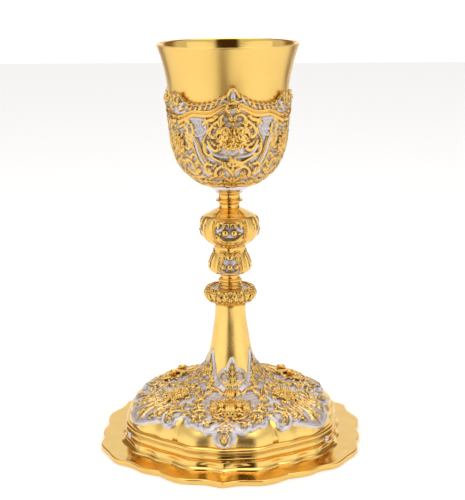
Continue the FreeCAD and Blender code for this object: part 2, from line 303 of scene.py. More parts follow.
class Relief:
    """Height and finish over one sector, from the middle of a cartouche to the middle of a bouquet.

    A place is (degrees from the middle of its side, millimetres up along the section), or by_height (degrees,
    level). Later forms win only where they stand higher. Where the section has a top that varies with
    azimuth, its rows are squeezed together above a distance.
    """

    def __init__(self, section, columns, metal=SATIN, top=None, squeezed_from=0.0, by_height=False):
        self.section = section
        self.columns = columns
        self.by_height = by_height
        self.u = np.linspace(0, SECTOR, columns + 1)
        self.v = np.repeat(section.v[:, None], columns + 1, axis=1)
        if top is not None:
            share = (top(self.u) - squeezed_from) / (section.length - squeezed_from)
            above = np.maximum(self.v - squeezed_from, 0)
            self.v = np.minimum(self.v, squeezed_from) + above * share
        self.top = self.v[-1]
        radius = section.radius(self.v)
        self.x = {CARTOUCHE: np.radians(self.u) * radius, BOUQUET: np.radians(SECTOR - self.u) * radius}
        self.height = np.zeros(self.v.shape)
        self.metal = np.full(self.v.shape, metal)

    def place(self, points):
        """Places as (x, v) in millimetres from the middle of their side."""
        points = np.array(points, float)
        v = self.section.up_to(points[:, 1]) if self.by_height else points[:, 1]
        return np.stack([np.radians(points[:, 0]) * self.section.radius(v), v], -1)

    def put(self, where, height, metal):
        """Raise the ground to a height where it is higher than what is there."""
        wins = height > self.height[where]
        self.height[where] = np.where(wins, height, self.height[where])
        self.metal[where] = np.where(wins, metal, self.metal[where])

    def near(self, side, centre, reach):
        """Which points lie within a square round a centre."""
        return (np.abs(self.x[side] - centre[0]) < reach) & (np.abs(self.v - centre[1]) < reach)

    def line(self, line, width, height, metal=GOLD, ends=(1.0, 1.0), crease=0.0, side=CARTOUCHE):
        """A rounded strand along a line in millimetres, with its width shared out from end to end."""
        lowest, highest = line.min(0) - width, line.max(0) + width
        x, v = self.x[side], self.v
        where = (x > lowest[0]) & (x < highest[0]) & (v > lowest[1]) & (v < highest[1])
        if not where.any():
            return
        x, v = x[where], v[where]
        best = np.full(x.shape, 9.0)
        along = np.r_[0, np.cumsum(np.linalg.norm(np.diff(line, axis=0), axis=1))]
        share = along / max(along[-1], 1e-9)
        widths = width * (ends[0] + (ends[1] - ends[0]) * share) / 2
        for i in range(len(line) - 1):
            run = line[i + 1] - line[i]
            size = max(run @ run, 1e-9)
            t = np.clip(((x - line[i, 0]) * run[0] + (v - line[i, 1]) * run[1]) / size, 0, 1)
            gap = np.hypot(x - line[i, 0] - t * run[0], v - line[i, 1] - t * run[1])
            best = np.minimum(best, gap / (widths[i] + t * (widths[i + 1] - widths[i])))
        dome = np.sqrt(np.clip(1 - best**2, 0, 1))
        if crease:
            dome = dome * (1 - crease * groove(best, 0, 0.22))
        self.put(where, np.where(best < 1, height * dome, -1), metal)

    def strand(self, places, width, height, metal=GOLD, ends=(1.0, 1.0), crease=0.0, side=CARTOUCHE):
        """A rounded strand through places."""
        self.line(through(self.place(places), 8), width, height, metal, ends, crease, side)

    def strands(self, lines, width, height, ends=(1.0, 1.0), crease=0.0, side=CARTOUCHE):
        """Gold strands, from a list of their places."""
        for places in lines:
            self.strand(places, width, height, GOLD, ends, crease, side)

    def volute(self, place, radius, turns, start, hand, width, height, metal=GOLD, side=CARTOUCHE):
        """A spiral that winds in from its start direction, with a bead for an eye."""
        centre = self.place([place])[0]
        t = np.linspace(0, 1, int(18 * turns) + 2)
        angle = np.radians(start + hand * 360 * turns * t)
        reach = radius * (1 - 0.82 * t)
        line = centre + np.stack([reach * np.cos(angle), reach * np.sin(angle)], -1)
        self.line(line, width, height, metal, ends=(1.0, 0.55), side=side)
        self.bead(place, 0.55 * width, height * 1.15, metal, side=side)

    def volutes(self, volutes, turns, width, height, metal=GOLD, side=CARTOUCHE):
        """Spirals, from a list of (place, radius, start, hand)."""
        for place, radius, start, hand in volutes:
            self.volute(place, radius, turns, start, hand, width, height, metal, side)

    def bead(self, place, radius, height, metal=GOLD, tall=1.0, hatched=False, side=CARTOUCHE):
        """A round or oval bead."""
        centre = self.place([place])[0]
        where = self.near(side, centre, radius * max(tall, 1))
        dx, dv = self.x[side][where] - centre[0], self.v[where] - centre[1]
        gap = np.hypot(dx, dv / tall) / radius
        dome = height * np.sqrt(np.clip(1 - gap**2, 0, 1))
        if hatched:
            dome *= 0.7 + 0.3 * np.abs(np.sin(2.6 * (dx + dv)) * np.sin(2.6 * (dx - dv)))
        self.put(where, np.where(gap < 1, dome, -1), metal)

    def leaf(self, base, tip, width, height, metal=GOLD, lobes=0, side=CARTOUCHE):
        """A pointed leaf with a sunk midrib, and lobes along its edges if it is an acanthus."""
        base, tip = self.place([base])[0], self.place([tip])[0]
        length = np.linalg.norm(tip - base)
        along = (tip - base) / length
        where = self.near(side, (base + tip) / 2, length / 2 + width)
        dx, dv = self.x[side][where] - base[0], self.v[where] - base[1]
        t = (dx * along[0] + dv * along[1]) / length
        off = np.abs(-dx * along[1] + dv * along[0])
        inside = np.clip(t, 0, 1)
        half = width / 2 * np.sqrt(np.sin(np.pi * inside**0.75).clip(0, 1)) * (1 - 0.35 * inside)
        if lobes:
            half = half * (1 + 0.28 * np.cos(2 * np.pi * lobes * inside + 1.2))
        gap = off / np.maximum(half, 1e-6)
        dome = np.sqrt(np.clip(1 - gap**2, 0, 1)) * (1 - 0.35 * groove(off, 0, 0.28))
        self.put(where, np.where((gap < 1) & (t > 0) & (t < 1), height * (0.25 + 0.75 * dome), -1), metal)

    def leaves(self, leaves, height, lobes=3, side=CARTOUCHE):
        """Gold leaves, from a list of (base, tip, width)."""
        for base, tip, width in leaves:
            self.leaf(base, tip, width, height, GOLD, lobes, side)

    def flower(self, place, radius, petals, height):
        """A round gold flower on the cartouche's side: petals about a bead."""
        centre = self.place([place])[0]
        where = self.near(CARTOUCHE, centre, radius)
        dx, dv = self.x[CARTOUCHE][where] - centre[0], self.v[where] - centre[1]
        reach, angle = np.hypot(dx, dv) / radius, np.arctan2(dv, dx)
        edge = 0.78 + 0.22 * np.abs(np.cos(petals * angle / 2))
        cup = 0.55 + 0.45 * np.sin(np.pi * np.clip(reach / edge, 0, 1)**0.8)
        cup = cup * (0.7 + 0.3 * np.abs(np.cos(petals * angle / 2)))
        self.put(where, np.where(reach < edge, height * cup, -1), GOLD)
        self.bead(place, 0.3 * radius, height * 1.2)

    def inside(self, corners, side=CARTOUCHE):
        """Which points lie inside a polygon of places."""
        corners = self.place(corners)
        x, v = self.x[side], self.v
        within = np.zeros(x.shape, bool)
        for (x0, v0), (x1, v1) in zip(corners, np.roll(corners, -1, axis=0)):
            if v0 != v1:
                within ^= ((v0 > v) != (v1 > v)) & (x < (x1 - x0) * (v - v0) / (v1 - v0) + x0)
        return within

    def ground(self, where, height):
        """A silver ground at a height, whatever was there."""
        self.metal[where] = SILVER
        self.height[where] = height

    def hatch(self, where, pitch, height, slants):
        """A silver ground of fine parallel ridges, one set for each slant in degrees."""
        ridges = np.ones(self.v.shape)
        for slant in slants:
            turn = math.radians(slant)
            across = self.x[CARTOUCHE] * math.cos(turn) + self.v * math.sin(turn)
            ridges = np.minimum(ridges, np.abs(np.sin(np.pi * across / pitch)))
        self.ground(where, height * ridges[where])

    def unfolded(self, field):
        """A field of the sector, carried round the whole circle."""
        there_and_back = np.r_[np.arange(self.columns), np.arange(self.columns, 0, -1)]
        return np.tile(field[:, there_and_back], (1, FOLD))

    def azimuths(self, turn):
        return turn + np.arange(2 * self.columns * FOLD) * SECTOR / self.columns

    def colours(self, extra_rows):
        """Silver, satin and painted shade for each point: the painted shade is how deep a point lies among
        higher ones, or half of how steep it is where it is gold. The extra rows are plain satin."""
        metal, height, v = (self.unfolded(field) for field in (self.metal, self.height, self.v))
        around, spread = height, np.arange(-3, 4)
        for axis in (0, 1):
            around = sum(np.roll(around, k, axis) for k in spread) / len(spread)
        # painted shade: a point that lies below the ones round it is darkened, for the shade that falls in
        # the relief's recesses
        sunk = ramp(around - height, 0.08, 0.6)
        along = np.maximum(np.gradient(v, axis=0), 1e-3)
        across = np.radians(SECTOR / self.columns) * self.section.radius(v)
        slope = np.hypot(np.gradient(height, axis=0) / along, np.gradient(height, axis=1) / across)
        # painted shade: the steep flanks of the gold forms are darkened as well, which draws dark outlines
        # round them
        steep = ramp(slope, 0.9, 1.6) * (metal == GOLD)
        shade = np.maximum(sunk, 0.5 * steep)
        colours = np.stack([metal == SILVER, metal == SATIN, shade, np.ones(metal.shape)], -1).astype(float)
        plain = np.zeros((extra_rows, metal.shape[1], 4))
        plain[..., 1] = 1
        plain[..., 3] = 1
        return np.vstack([colours, plain])


def relief_shell(name, relief, turn, wall=None, closing=(), swell=1.0, lean=None):
    """A piece whose outer skin carries a relief, with an inner skin a wall inside it or none, and then
    (radius, height) corners that close it at the bottom. A lean turns each level by its own angle."""
    section = relief.section
    height = relief.unfolded(relief.height)
    radii, levels = section.point(relief.unfolded(relief.v), height)
    radii = radii * swell
    rows = [(radii, levels)]
    if wall:
        top = relief.unfolded(relief.top[None])
        for share in np.linspace(1, 0, 28):
            rows.append(section.point(share * top, -wall))
    columns = radii.shape[1]
    for corner in closing:
        rows.append([np.full((1, columns), float(size)) for size in corner])
    radii = np.vstack([row[0] for row in rows])
    levels = np.vstack([row[1] for row in rows])
    azimuths = relief.azimuths(turn)
    if lean is not None:
        outer = azimuths + lean(relief.unfolded(relief.v))
        azimuths = np.vstack([outer, np.broadcast_to(azimuths, (len(radii) - len(height), columns))])
    grid = ring_points(radii, levels, azimuths)
    return grid_object(name, grid, colours=relief.colours(len(radii) - len(height)))


# ------------------------ materials

def shader(name, colour):
    """A new metal, and its nodes."""
    made = bpy.data.materials.new(name)
    made.use_nodes = True
    tree = made.node_tree
    surface = tree.nodes["Principled BSDF"]
    surface.inputs["Metallic"].default_value = 1.0
    surface.inputs["Base Color"].default_value = (*colour, 1)
    return made, tree, surface


def noise(tree, scale, detail, stretch=(1, 1, 1)):
    """A noise pattern fixed to the object, in its own coordinates."""
    place = tree.nodes.new("ShaderNodeTexCoord")
    mapping = tree.nodes.new("ShaderNodeMapping")
    mapping.inputs["Scale"].default_value = stretch
    pattern = tree.nodes.new("ShaderNodeTexNoise")
    pattern.inputs["Scale"].default_value = scale
    pattern.inputs["Detail"].default_value = detail
    tree.links.new(place.outputs["Object"], mapping.inputs["Vector"])
    tree.links.new(mapping.outputs["Vector"], pattern.inputs["Vector"])
    return pattern.outputs["Fac"]


def remap(tree, value, to=(0.0, 1.0), limits=(0.0, 1.0)):
    """A value carried from between two limits to a new range, and held at its ends."""
    node = tree.nodes.new("ShaderNodeMapRange")
    node.inputs["From Min"].default_value, node.inputs["From Max"].default_value = limits
    node.inputs["To Min"].default_value, node.inputs["To Max"].default_value = to
    tree.links.new(value, node.inputs["Value"])
    return node.outputs["Result"]


def blend_colours(tree, factor, first, second):
    """Mix two colours, each a socket or three numbers."""
    node = tree.nodes.new("ShaderNodeMix")
    node.data_type = "RGBA"
    tree.links.new(factor, node.inputs["Factor"])
    for key, colour in (("A", first), ("B", second)):
        socket = [s for s in node.inputs if s.name == key and s.type == "RGBA"][0]
        if isinstance(colour, tuple):
            socket.default_value = (*colour, 1)
        else:
            tree.links.new(colour, socket)
    return [s for s in node.outputs if s.type == "RGBA"][0]


def blend_values(tree, factor, first, second):
    """Mix two values, each a socket or a number."""
    node = tree.nodes.new("ShaderNodeMix")
    tree.links.new(factor, node.inputs[0])
    for index, value in ((2, first), (3, second)):
        if isinstance(value, float):
            node.inputs[index].default_value = value
        else:
            tree.links.new(value, node.inputs[index])
    return node.outputs[0]


def uneven(tree, scale, detail, least, most):
    """A value that wanders between two limits."""
    return remap(tree, noise(tree, scale, detail), (least, most))


def bump(tree, surface, height, distance):
    """Relief too fine for the mesh, up to a distance in metres."""
    node = tree.nodes.new("ShaderNodeBump")
    node.inputs["Distance"].default_value = distance
    node.inputs["Strength"].default_value = 1.0
    tree.links.new(height, node.inputs["Height"])
    tree.links.new(node.outputs["Normal"], surface.inputs["Normal"])


def finish_layout(tree):
    """The mesh's own attribute that lays out its finishes and its painted shade: how silver, how satin and
    how much painted shade it has.
    """
    layout = tree.nodes.new("ShaderNodeAttribute")
    layout.attribute_name = "finish"
    parts = tree.nodes.new("ShaderNodeSeparateColor")
    tree.links.new(layout.outputs["Color"], parts.inputs["Color"])
    return parts.outputs["Red"], parts.outputs["Green"], parts.outputs["Blue"]


GOLD_COLOUR = (0.92, 0.63, 0.20)
GOLD_DEEP = (0.84, 0.50, 0.12)
# GOLD_SHADE is painted shade: the dark brown that recesses, steep flanks and casting hollows in the gold are
# darkened towards
GOLD_SHADE = (0.13, 0.045, 0.008)
SATIN_COLOUR = (0.93, 0.63, 0.19)
SATIN_DEEP = (0.87, 0.57, 0.16)
SILVER_COLOUR = (0.82, 0.78, 0.79)
SILVER_DEEP = (0.70, 0.66, 0.70)
MATTED_DEEP = (0.68, 0.62, 0.66)
# SILVER_SHADE is painted shade: the warm brown that recesses in the silver ground are darkened towards
SILVER_SHADE = (0.30, 0.22, 0.16)


def plated(name, colours, tone, rough, grain, grain_depth):
    """A plate of two clouded tones, with uneven roughness and a fine grain, each as (scale, detail, ...)."""
    made, tree, surface = shader(name, colours[0])
    tree.links.new(blend_colours(tree, noise(tree, *tone), *colours), surface.inputs["Base Color"])
    tree.links.new(uneven(tree, *rough), surface.inputs["Roughness"])
    bump(tree, surface, noise(tree, *grain), grain_depth)
    return made


def two_colour():
    """Relief metal: gold, matted silver and satin gold, laid out and darkened with painted shade by the
    mesh's own attribute.
    """
    made, tree, surface = shader("two-colour relief", GOLD_COLOUR)
    is_silver, is_satin, shade = finish_layout(tree)
    tone = noise(tree, 180, 4)
    gold = blend_colours(tree, tone, GOLD_COLOUR, GOLD_DEEP)
    # painted shade: gold darkened towards deep brown in the recesses and on the steep flanks
    gold = blend_colours(tree, shade, gold, GOLD_SHADE)
    pale = blend_colours(tree, tone, SILVER_COLOUR, MATTED_DEEP)
    # painted shade: silver darkened towards warm brown in the recesses
    pale = blend_colours(tree, shade, pale, SILVER_SHADE)
    colour = blend_colours(tree, is_silver, gold, pale)
    colour = blend_colours(tree, is_satin, colour, SATIN_COLOUR)
    tree.links.new(colour, surface.inputs["Base Color"])
    tree.links.new(blend_values(tree, is_silver, 1.0, 0.72), surface.inputs["Metallic"])
    rough = blend_values(tree, is_silver, uneven(tree, 400, 4, 0.10, 0.22), 0.40)
    rough = blend_values(tree, is_satin, rough, uneven(tree, 300, 4, 0.24, 0.33))
    tree.links.new(rough, surface.inputs["Roughness"])
    stipple = blend_values(tree, is_silver, uneven(tree, 300, 2, 0.4, 0.6), noise(tree, 1900, 2))
    stipple = blend_values(tree, is_satin, stipple, 0.5)
    bump(tree, surface, stipple, 0.00008)
    return made


def casting_gold():
    """Burnished cast gold, with painted shade in its hollows."""
    made, tree, surface = shader("burnished castings", GOLD_COLOUR)
    form = tree.nodes.new("ShaderNodeNewGeometry").outputs["Pointiness"]
    # painted shade: where the surface curves inwards the gold is darkened towards GOLD_SHADE, for the shade
    # in the castings' recesses
    hollow_shade = remap(tree, form, limits=(0.495, 0.455))
    gold = blend_colours(tree, noise(tree, 150, 4), GOLD_COLOUR, GOLD_DEEP)
    tree.links.new(blend_colours(tree, hollow_shade, gold, GOLD_SHADE), surface.inputs["Base Color"])
    tree.links.new(uneven(tree, 260, 5, 0.10, 0.24), surface.inputs["Roughness"])
    bump(tree, surface, noise(tree, 240, 2), 0.00006)
    return made


def steel():
    """Zinc-plated steel, dull and even."""
    made, tree, surface = shader("zinc-plated steel", (0.50, 0.50, 0.51))
    tree.links.new(uneven(tree, 700, 3, 0.28, 0.45), surface.inputs["Roughness"])
    bump(tree, surface, noise(tree, 900, 2), 0.00003)
    return made


def nylon():
    """Natural nylon, which lets a little light in."""
    made, tree, surface = shader("nylon", (0.80, 0.78, 0.70))
    surface.inputs["Metallic"].default_value = 0.0
    surface.inputs["Subsurface Weight"].default_value = 0.1
    tree.links.new(uneven(tree, 600, 2, 0.45, 0.6), surface.inputs["Roughness"])
    return made


def cup_gold():
    """The cup: satin outside and mirror bright inside, told apart by the mesh's own attribute."""
    made, tree, surface = shader("cup gold", SATIN_COLOUR)
    _, is_satin, _ = finish_layout(tree)
    tone = blend_colours(tree, noise(tree, 60, 3), SATIN_COLOUR, SATIN_DEEP)
    tree.links.new(tone, surface.inputs["Base Color"])
    rough = blend_values(tree, is_satin, uneven(tree, 200, 3, 0.06, 0.12), uneven(tree, 300, 4, 0.26, 0.34))
    tree.links.new(rough, surface.inputs["Roughness"])
    bump(tree, surface, noise(tree, 400, 3, (0.12, 0.12, 6.0)), 0.000015)
    return made


POLISHED = plated("polished gold", (GOLD_COLOUR, GOLD_DEEP), (90, 4), (260, 5, 0.09, 0.20), (140, 2), 0.00006)
SILVER_METAL = plated("silver", (SILVER_COLOUR, SILVER_DEEP), (120, 4), (500, 3, 0.18, 0.32), (1500, 2),
                      0.00004)
RELIEF_METAL = two_colour()
CASTING_METAL = casting_gold()
CUP_METAL = cup_gold()
STEEL = steel()
NYLON = nylon()


# ------------------------ castings

class Casting:
    """A cast ornament modelled flat in millimetres: x across, y up and z out. Forms that overlap are cast
    into one skin, which is then bent round the shell that it is soldered to."""

    def __init__(self):
        self.vertices = []
        self.faces = []
        self.count = 0

    def add(self, vertices, faces, twin=True):
        """Keep a closed form, and its mirror image across x = 0 unless it has no twin."""
        for side in (1, -1) if twin else (1,):
            self.vertices.append(vertices * (side, 1, 1))
            for face in faces:
                self.faces.append([self.count + i for i in (face if side > 0 else face[::-1])])
            self.count += len(vertices)

    def loft(self, centres, rings, twin=True):
        """A closed form through rings of points, each given round its own centre."""
        sides = len(rings[0])
        points = np.vstack([centre + ring for centre, ring in zip(centres, rings)])
        faces = [list(range(sides))[::-1], [len(points) - sides + i for i in range(sides)]]
        for k in range(len(rings) - 1):
            for i in range(sides):
                j = (i + 1) % sides
                faces.append([k * sides + i, k * sides + j, (k + 1) * sides + j, (k + 1) * sides + i])
        self.add(points, faces, twin)

    def ball(self, centre, radii, lean=0.0, twin=True):
        """An ellipsoid, leaning clockwise by some degrees."""
        radii = np.broadcast_to(radii, 3)
        turn = math.radians(lean)
        across = np.array([math.cos(turn), -math.sin(turn), 0])
        up = np.array([math.sin(turn), math.cos(turn), 0])
        rise = np.cos(np.linspace(math.pi - 0.25, 0.25, 9))
        around = np.arange(12) * math.pi / 6
        centre = np.array(centre, float)
        centres = [centre + up * radii[1] * level for level in rise]
        ring = np.outer(np.sin(around) * radii[0], across) + np.outer(np.cos(around) * radii[2], (0, 0, 1))
        rings = [math.sqrt(1 - level**2) * ring for level in rise]
        self.loft(centres, rings, twin)

    def limb(self, line, start, end=None, flat=1.0, twin=True):
        """A round or flattened limb along a line, tapering from a start to an end radius."""
        line = through(line, 6)
        end = start if end is None else end
        share = np.linspace(0, 1, len(line))
        around = np.arange(8) * math.pi / 4
        rings = []
        for k in range(len(line)):
            along = line[min(k + 1, len(line) - 1)] - line[max(k - 1, 0)]
            across = np.cross(along, (0, 0, 1.0))
            across /= max(np.linalg.norm(across), 1e-6)
            up = np.cross(across, along)
            up /= np.linalg.norm(up)
            size = (start + (end - start) * share[k]) * (0.5 if k in (0, len(line) - 1) else 1)
            rings.append(np.outer(np.cos(around) * size, across) + np.outer(np.sin(around) * size * flat, up))
        self.loft(line, rings, twin)

    def leaf(self, base, tip, width, thick, arch=0.6, twin=True):
        """A pointed leaf with a sunk midrib, arched outwards between its base and its tip."""
        base, tip = np.array(base, float), np.array(tip, float)
        along = tip - base
        across = np.cross(along, (0, 0, 1.0))
        across /= np.linalg.norm(across)
        section = np.array([(-1, 0), (-0.55, 1), (0, 0.35), (0.55, 1), (1, 0), (0, -0.8)])
        centres, rings = [], []
        for t in np.linspace(0.02, 0.98, 9):
            half = width / 2 * math.sin(math.pi * t**0.7)**0.7
            centres.append(base + along * t + (0, 0, arch * math.sin(math.pi * t)))
            rings.append(np.outer(section[:, 0] * half, across)
                         + np.outer(section[:, 1] * thick * min(1, 3 * half / width + 0.2), (0, 0, 1)))
        self.loft(centres, rings, twin)

    def curl(self, centre, radius, turns, start, thick, hand=1):
        """A scroll wound in a spiral round a bead."""
        t = np.linspace(0, 1, int(10 * turns) + 2)
        angle = np.radians(start + hand * 360 * turns * t)
        reach = radius * (1 - 0.75 * t)
        line = np.array(centre) + np.stack([reach * np.cos(angle), reach * np.sin(angle), 0.5 * t], -1)
        self.limb(line[::2], thick, 0.6 * thick)
        self.ball(centre, 0.9 * thick)

    def flower(self, centre, radius, petals, twin):
        """A rose: two rows of petals round a domed middle."""
        x, y, z = centre
        for row, reach, wide, rise in ((0, 0.66, 0.36, 0.0), (1, 0.34, 0.24, 0.28)):
            for k in range(petals):
                angle = 360.0 * (k + 0.5 * row) / petals
                turn = math.radians(angle)
                spot = np.array((reach * math.sin(turn), reach * math.cos(turn), rise)) * radius + centre
                self.ball(spot, np.array((wide, 0.30, 0.22)) * radius, angle, twin)
        self.ball((x, y, z + 0.45 * radius), 0.20 * radius, twin=twin)

    def head(self, centre, size, turn):
        """A cherub's head: calm and plain, with a broad brow, full cheeks and short curls."""
        x, y, z = centre

        def at(across, up, out, radii):
            self.ball((x + (across + turn * out * 0.5) * size, y + up * size, z + out * size),
                      np.array(radii) * size)

        at(0, 0.15, -0.05, (0.80, 0.95, 0.85))                      # skull
        at(0, -0.35, 0.12, (0.60, 0.55, 0.62))                      # jaw
        for side in (-1, 1):
            at(side * 0.33, -0.22, 0.50, (0.27, 0.26, 0.24))        # cheeks
            at(side * 0.30, 0.22, 0.66, (0.24, 0.08, 0.12))         # brows
            at(side * 0.28, 0.08, 0.64, (0.12, 0.09, 0.10))         # eyes, under their lids
            at(side * 0.80, -0.02, 0.0, (0.14, 0.24, 0.16))         # ears
        at(0, -0.02, 0.78, (0.09, 0.22, 0.12))                      # nose
        at(0, -0.14, 0.84, (0.13, 0.09, 0.12))
        at(0, -0.38, 0.68, (0.18, 0.06, 0.10))                      # mouth
        at(0, -0.64, 0.52, (0.19, 0.15, 0.20))                      # chin
        for angle in range(-110, 111, 22):                          # curls round the brow
            lean = math.radians(angle)
            at(0.82 * math.sin(lean), 0.22 + 0.82 * math.cos(lean), 0.30, (0.24, 0.24, 0.26))
            if abs(angle) < 80:
                at(0.58 * math.sin(lean + 0.2), 0.30 + 0.62 * math.cos(lean + 0.2), 0.52, (0.20, 0.20, 0.20))

    def wing(self, root, size, lean):
        """Three rows of feathers that fan out from a root."""
        x, y, z = root
        for row, (reach, count, lift) in enumerate(((1.0, 6, 0.0), (0.72, 5, 0.35), (0.45, 4, 0.7))):
            for k in range(count):
                turn = math.radians(lean + 78.0 * (k / (count - 1) - 0.5))
                length = reach * size
                tip = (x + length * math.sin(turn), y + length * math.cos(turn), z + 0.2 + 0.3 * lift)
                self.leaf((x, y, z + lift), tip, 0.30 * size * (1 - 0.15 * row), 0.42, arch=0.5)

    def skin(self, voxel):
        """Cast the forms into one skin, as vertices and faces."""
        mesh = bpy.data.meshes.new("casting")
        mesh.from_pydata(np.vstack(self.vertices).tolist(), [], self.faces)
        thing = new_object("casting", mesh)
        remesh = thing.modifiers.new("cast", "REMESH")
        remesh.mode = "VOXEL"
        remesh.voxel_size = voxel
        smooth = thing.modifiers.new("soften", "SMOOTH")
        smooth.factor = 0.5
        smooth.iterations = 1
        cast = bpy.data.meshes.new_from_object(thing.evaluated_get(bpy.context.evaluated_depsgraph_get()))
        bpy.data.objects.remove(thing)
        return cast

    def bent(self, cast, section, v, azimuth, rise):
        """A copy of the skin, bent round a section with its middle at a level and an azimuth."""
        flat = np.empty(len(cast.vertices) * 3)
        cast.vertices.foreach_get("co", flat)
        flat = flat.reshape(-1, 3)
        radii, levels = section.point(v + flat[:, 1], flat[:, 2] + rise)
        turn = math.radians(azimuth) + flat[:, 0] / section.radius(v + flat[:, 1])
        mesh = cast.copy()
        bent = np.stack([radii * np.sin(turn), -radii * np.cos(turn), levels], -1)
        mesh.vertices.foreach_set("co", (bent * MM).ravel())
        mesh.update()
        mesh.shade_smooth()
        return mesh

    def solder(self, name, section, v, azimuths, voxel=0.22, rise=0.2, metal=None):
        """Bend copies of the casting round a section at a level, one at each azimuth."""
        cast = self.skin(voxel)
        for k, azimuth in enumerate(azimuths):
            mesh = self.bent(cast, section, v, azimuth, rise)
            piece = new_object("%s_casting_%d" % (name, k + 1), mesh)
            slot = "silver" if metal else "gold_castings"
            finish(piece, "stem", metal or CASTING_METAL, slot, "%s_%d" % (name, k + 1))


def thirds(first):
    """Three azimuths, a third of a circle apart."""
    return [first + k * 120.0 for k in range(FOLD)]


# ------------------------ the cup and its boss

def make_cup():
    """The spun bowl with its flared lip, satin outside and mirror bright inside."""
    seat_z = low("cup")
    wall = 1.2
    outside = Section([(9.0, seat_z), (22.0, 185.8), (28.8, 191.2), (32.6, 198.0), (35.4, 206.4),
                       (37.3, 216.8), (38.7, 228.0), (40.0, 241.0), (41.7, 254.0), (44.3, 264.6),
                       (46.2, 270.6), (LIP_R, LIP_Z)], 1.5)
    outer = np.stack([outside.r, outside.z], -1)
    inner = np.stack([outside.r - wall * outside.out_r, outside.z - wall * outside.out_z], -1)[::-1]
    inner = inner[inner[:, 1] < LIP_Z - 0.6]
    lip = np.array([(LIP_R - 0.15, LIP_Z - 0.02), (LIP_R - wall * 0.5, LIP_Z), (LIP_R - wall, LIP_Z - 0.25)])
    outer = outer[:-1]
    line = np.vstack([[(0, seat_z)], outer, [(LIP_R, LIP_Z - 0.25)], lip, inner, [(0, seat_z + wall)]])
    columns = 256
    piece = lathe("cup_bowl", line, columns=columns, sharp_deg=60)
    colours = np.zeros((len(piece.data.vertices), 4))
    colours[:(len(outer) + 1) * columns, 1] = 1
    colours[-2, 1] = 1                                              # the middle of its underside
    paint(piece.data, colours)
    finish(piece, "cup", CUP_METAL, "satin_gold", "cup")


# ------------------------ the stem's turned pieces

def make_turned():
    """The seat ring and the two necks."""
    ring_foot = low("seat_ring")
    ring_top = high("seat_ring")
    hub_r = 6.3
    ring = rounded([(hub_r, ring_foot), (9.6, ring_foot), (10.4, 176.4), (11.4, 177.2), (13.1, 178.2),
                    (13.9, ring_top + 0.3), (13.7, ring_top + 1.0), (hub_r, ring_top + 1.0)], 0.35)
    finish(lathe("silver_seat_ring", ring), "stem", SILVER_METAL, "silver", "seat_ring")

    bore = ROD_CLEAR_R - 0.1
    skirt = through([(14.4, KNOP_TOP + 0.15), (12.6, 161.5), (9.7, 163.0), (7.9, 163.9), (7.1, 164.6),
                     (6.7, 165.6)], 5)
    neck = np.vstack([[(bore, KNOP_TOP), (14.4, KNOP_TOP)], skirt,
                      rounded([(6.7, 165.6), (6.6, 166.6), (7.3, 167.2), (7.7, 168.1), (9.2, 168.9),
                               (9.2, 169.7), (7.7, 170.6), (7.2, 171.5), (7.3, 173.4), (8.4, 174.4),
                               (9.5, NECK_TOP - 0.5), (9.5, NECK_TOP)], 0.3, closed=False),
                      [(6.15, NECK_TOP), (6.15, 167.6), (bore, 167.6)]])
    finish(lathe("turned_upper_neck", neck), "stem", POLISHED, "polished_gold", "upper_neck")

    neck = np.vstack([[(ROD_CLEAR_R, COLLAR_SEAT)],
                      rounded([(8.5, COLLAR_SEAT), (8.5, 108.6), (7.6, 109.4), (7.9, 110.6), (7.0, 111.5),
                               (7.0, 112.1), (8.2, 112.9), (8.2, 113.9), (6.9, 114.7), (6.4, 115.8),
                               (6.5, 117.0), (7.6, 117.6), (8.5, PEAR_FOOT - 0.3), (8.5, PEAR_FOOT)],
                              0.3, closed=False),
                      [(ROD_CLEAR_R, PEAR_FOOT)]])
    finish(lathe("turned_lower_neck", neck), "stem", POLISHED, "polished_gold", "lower_neck")


# ------------------------ the foot

def foot_edge(azimuths):
    """The radius of the foot's lobed edge at each azimuth, as a share of its largest.

    The line is smooth but for the crease, and the cartouche's and the bouquet's middles mirror it.
    """
    mirrored = [(2 * SECTOR - angle, share) for angle, share in FOOT_EDGE[-2:CREASE - 1:-1]]
    after = through(FOOT_EDGE[CREASE:] + mirrored)
    half = np.vstack([through(FOOT_EDGE[:CREASE + 1]), after[after[:, 0] <= SECTOR]])
    return np.interp(folded(azimuths), half[:, 0], half[:, 1])


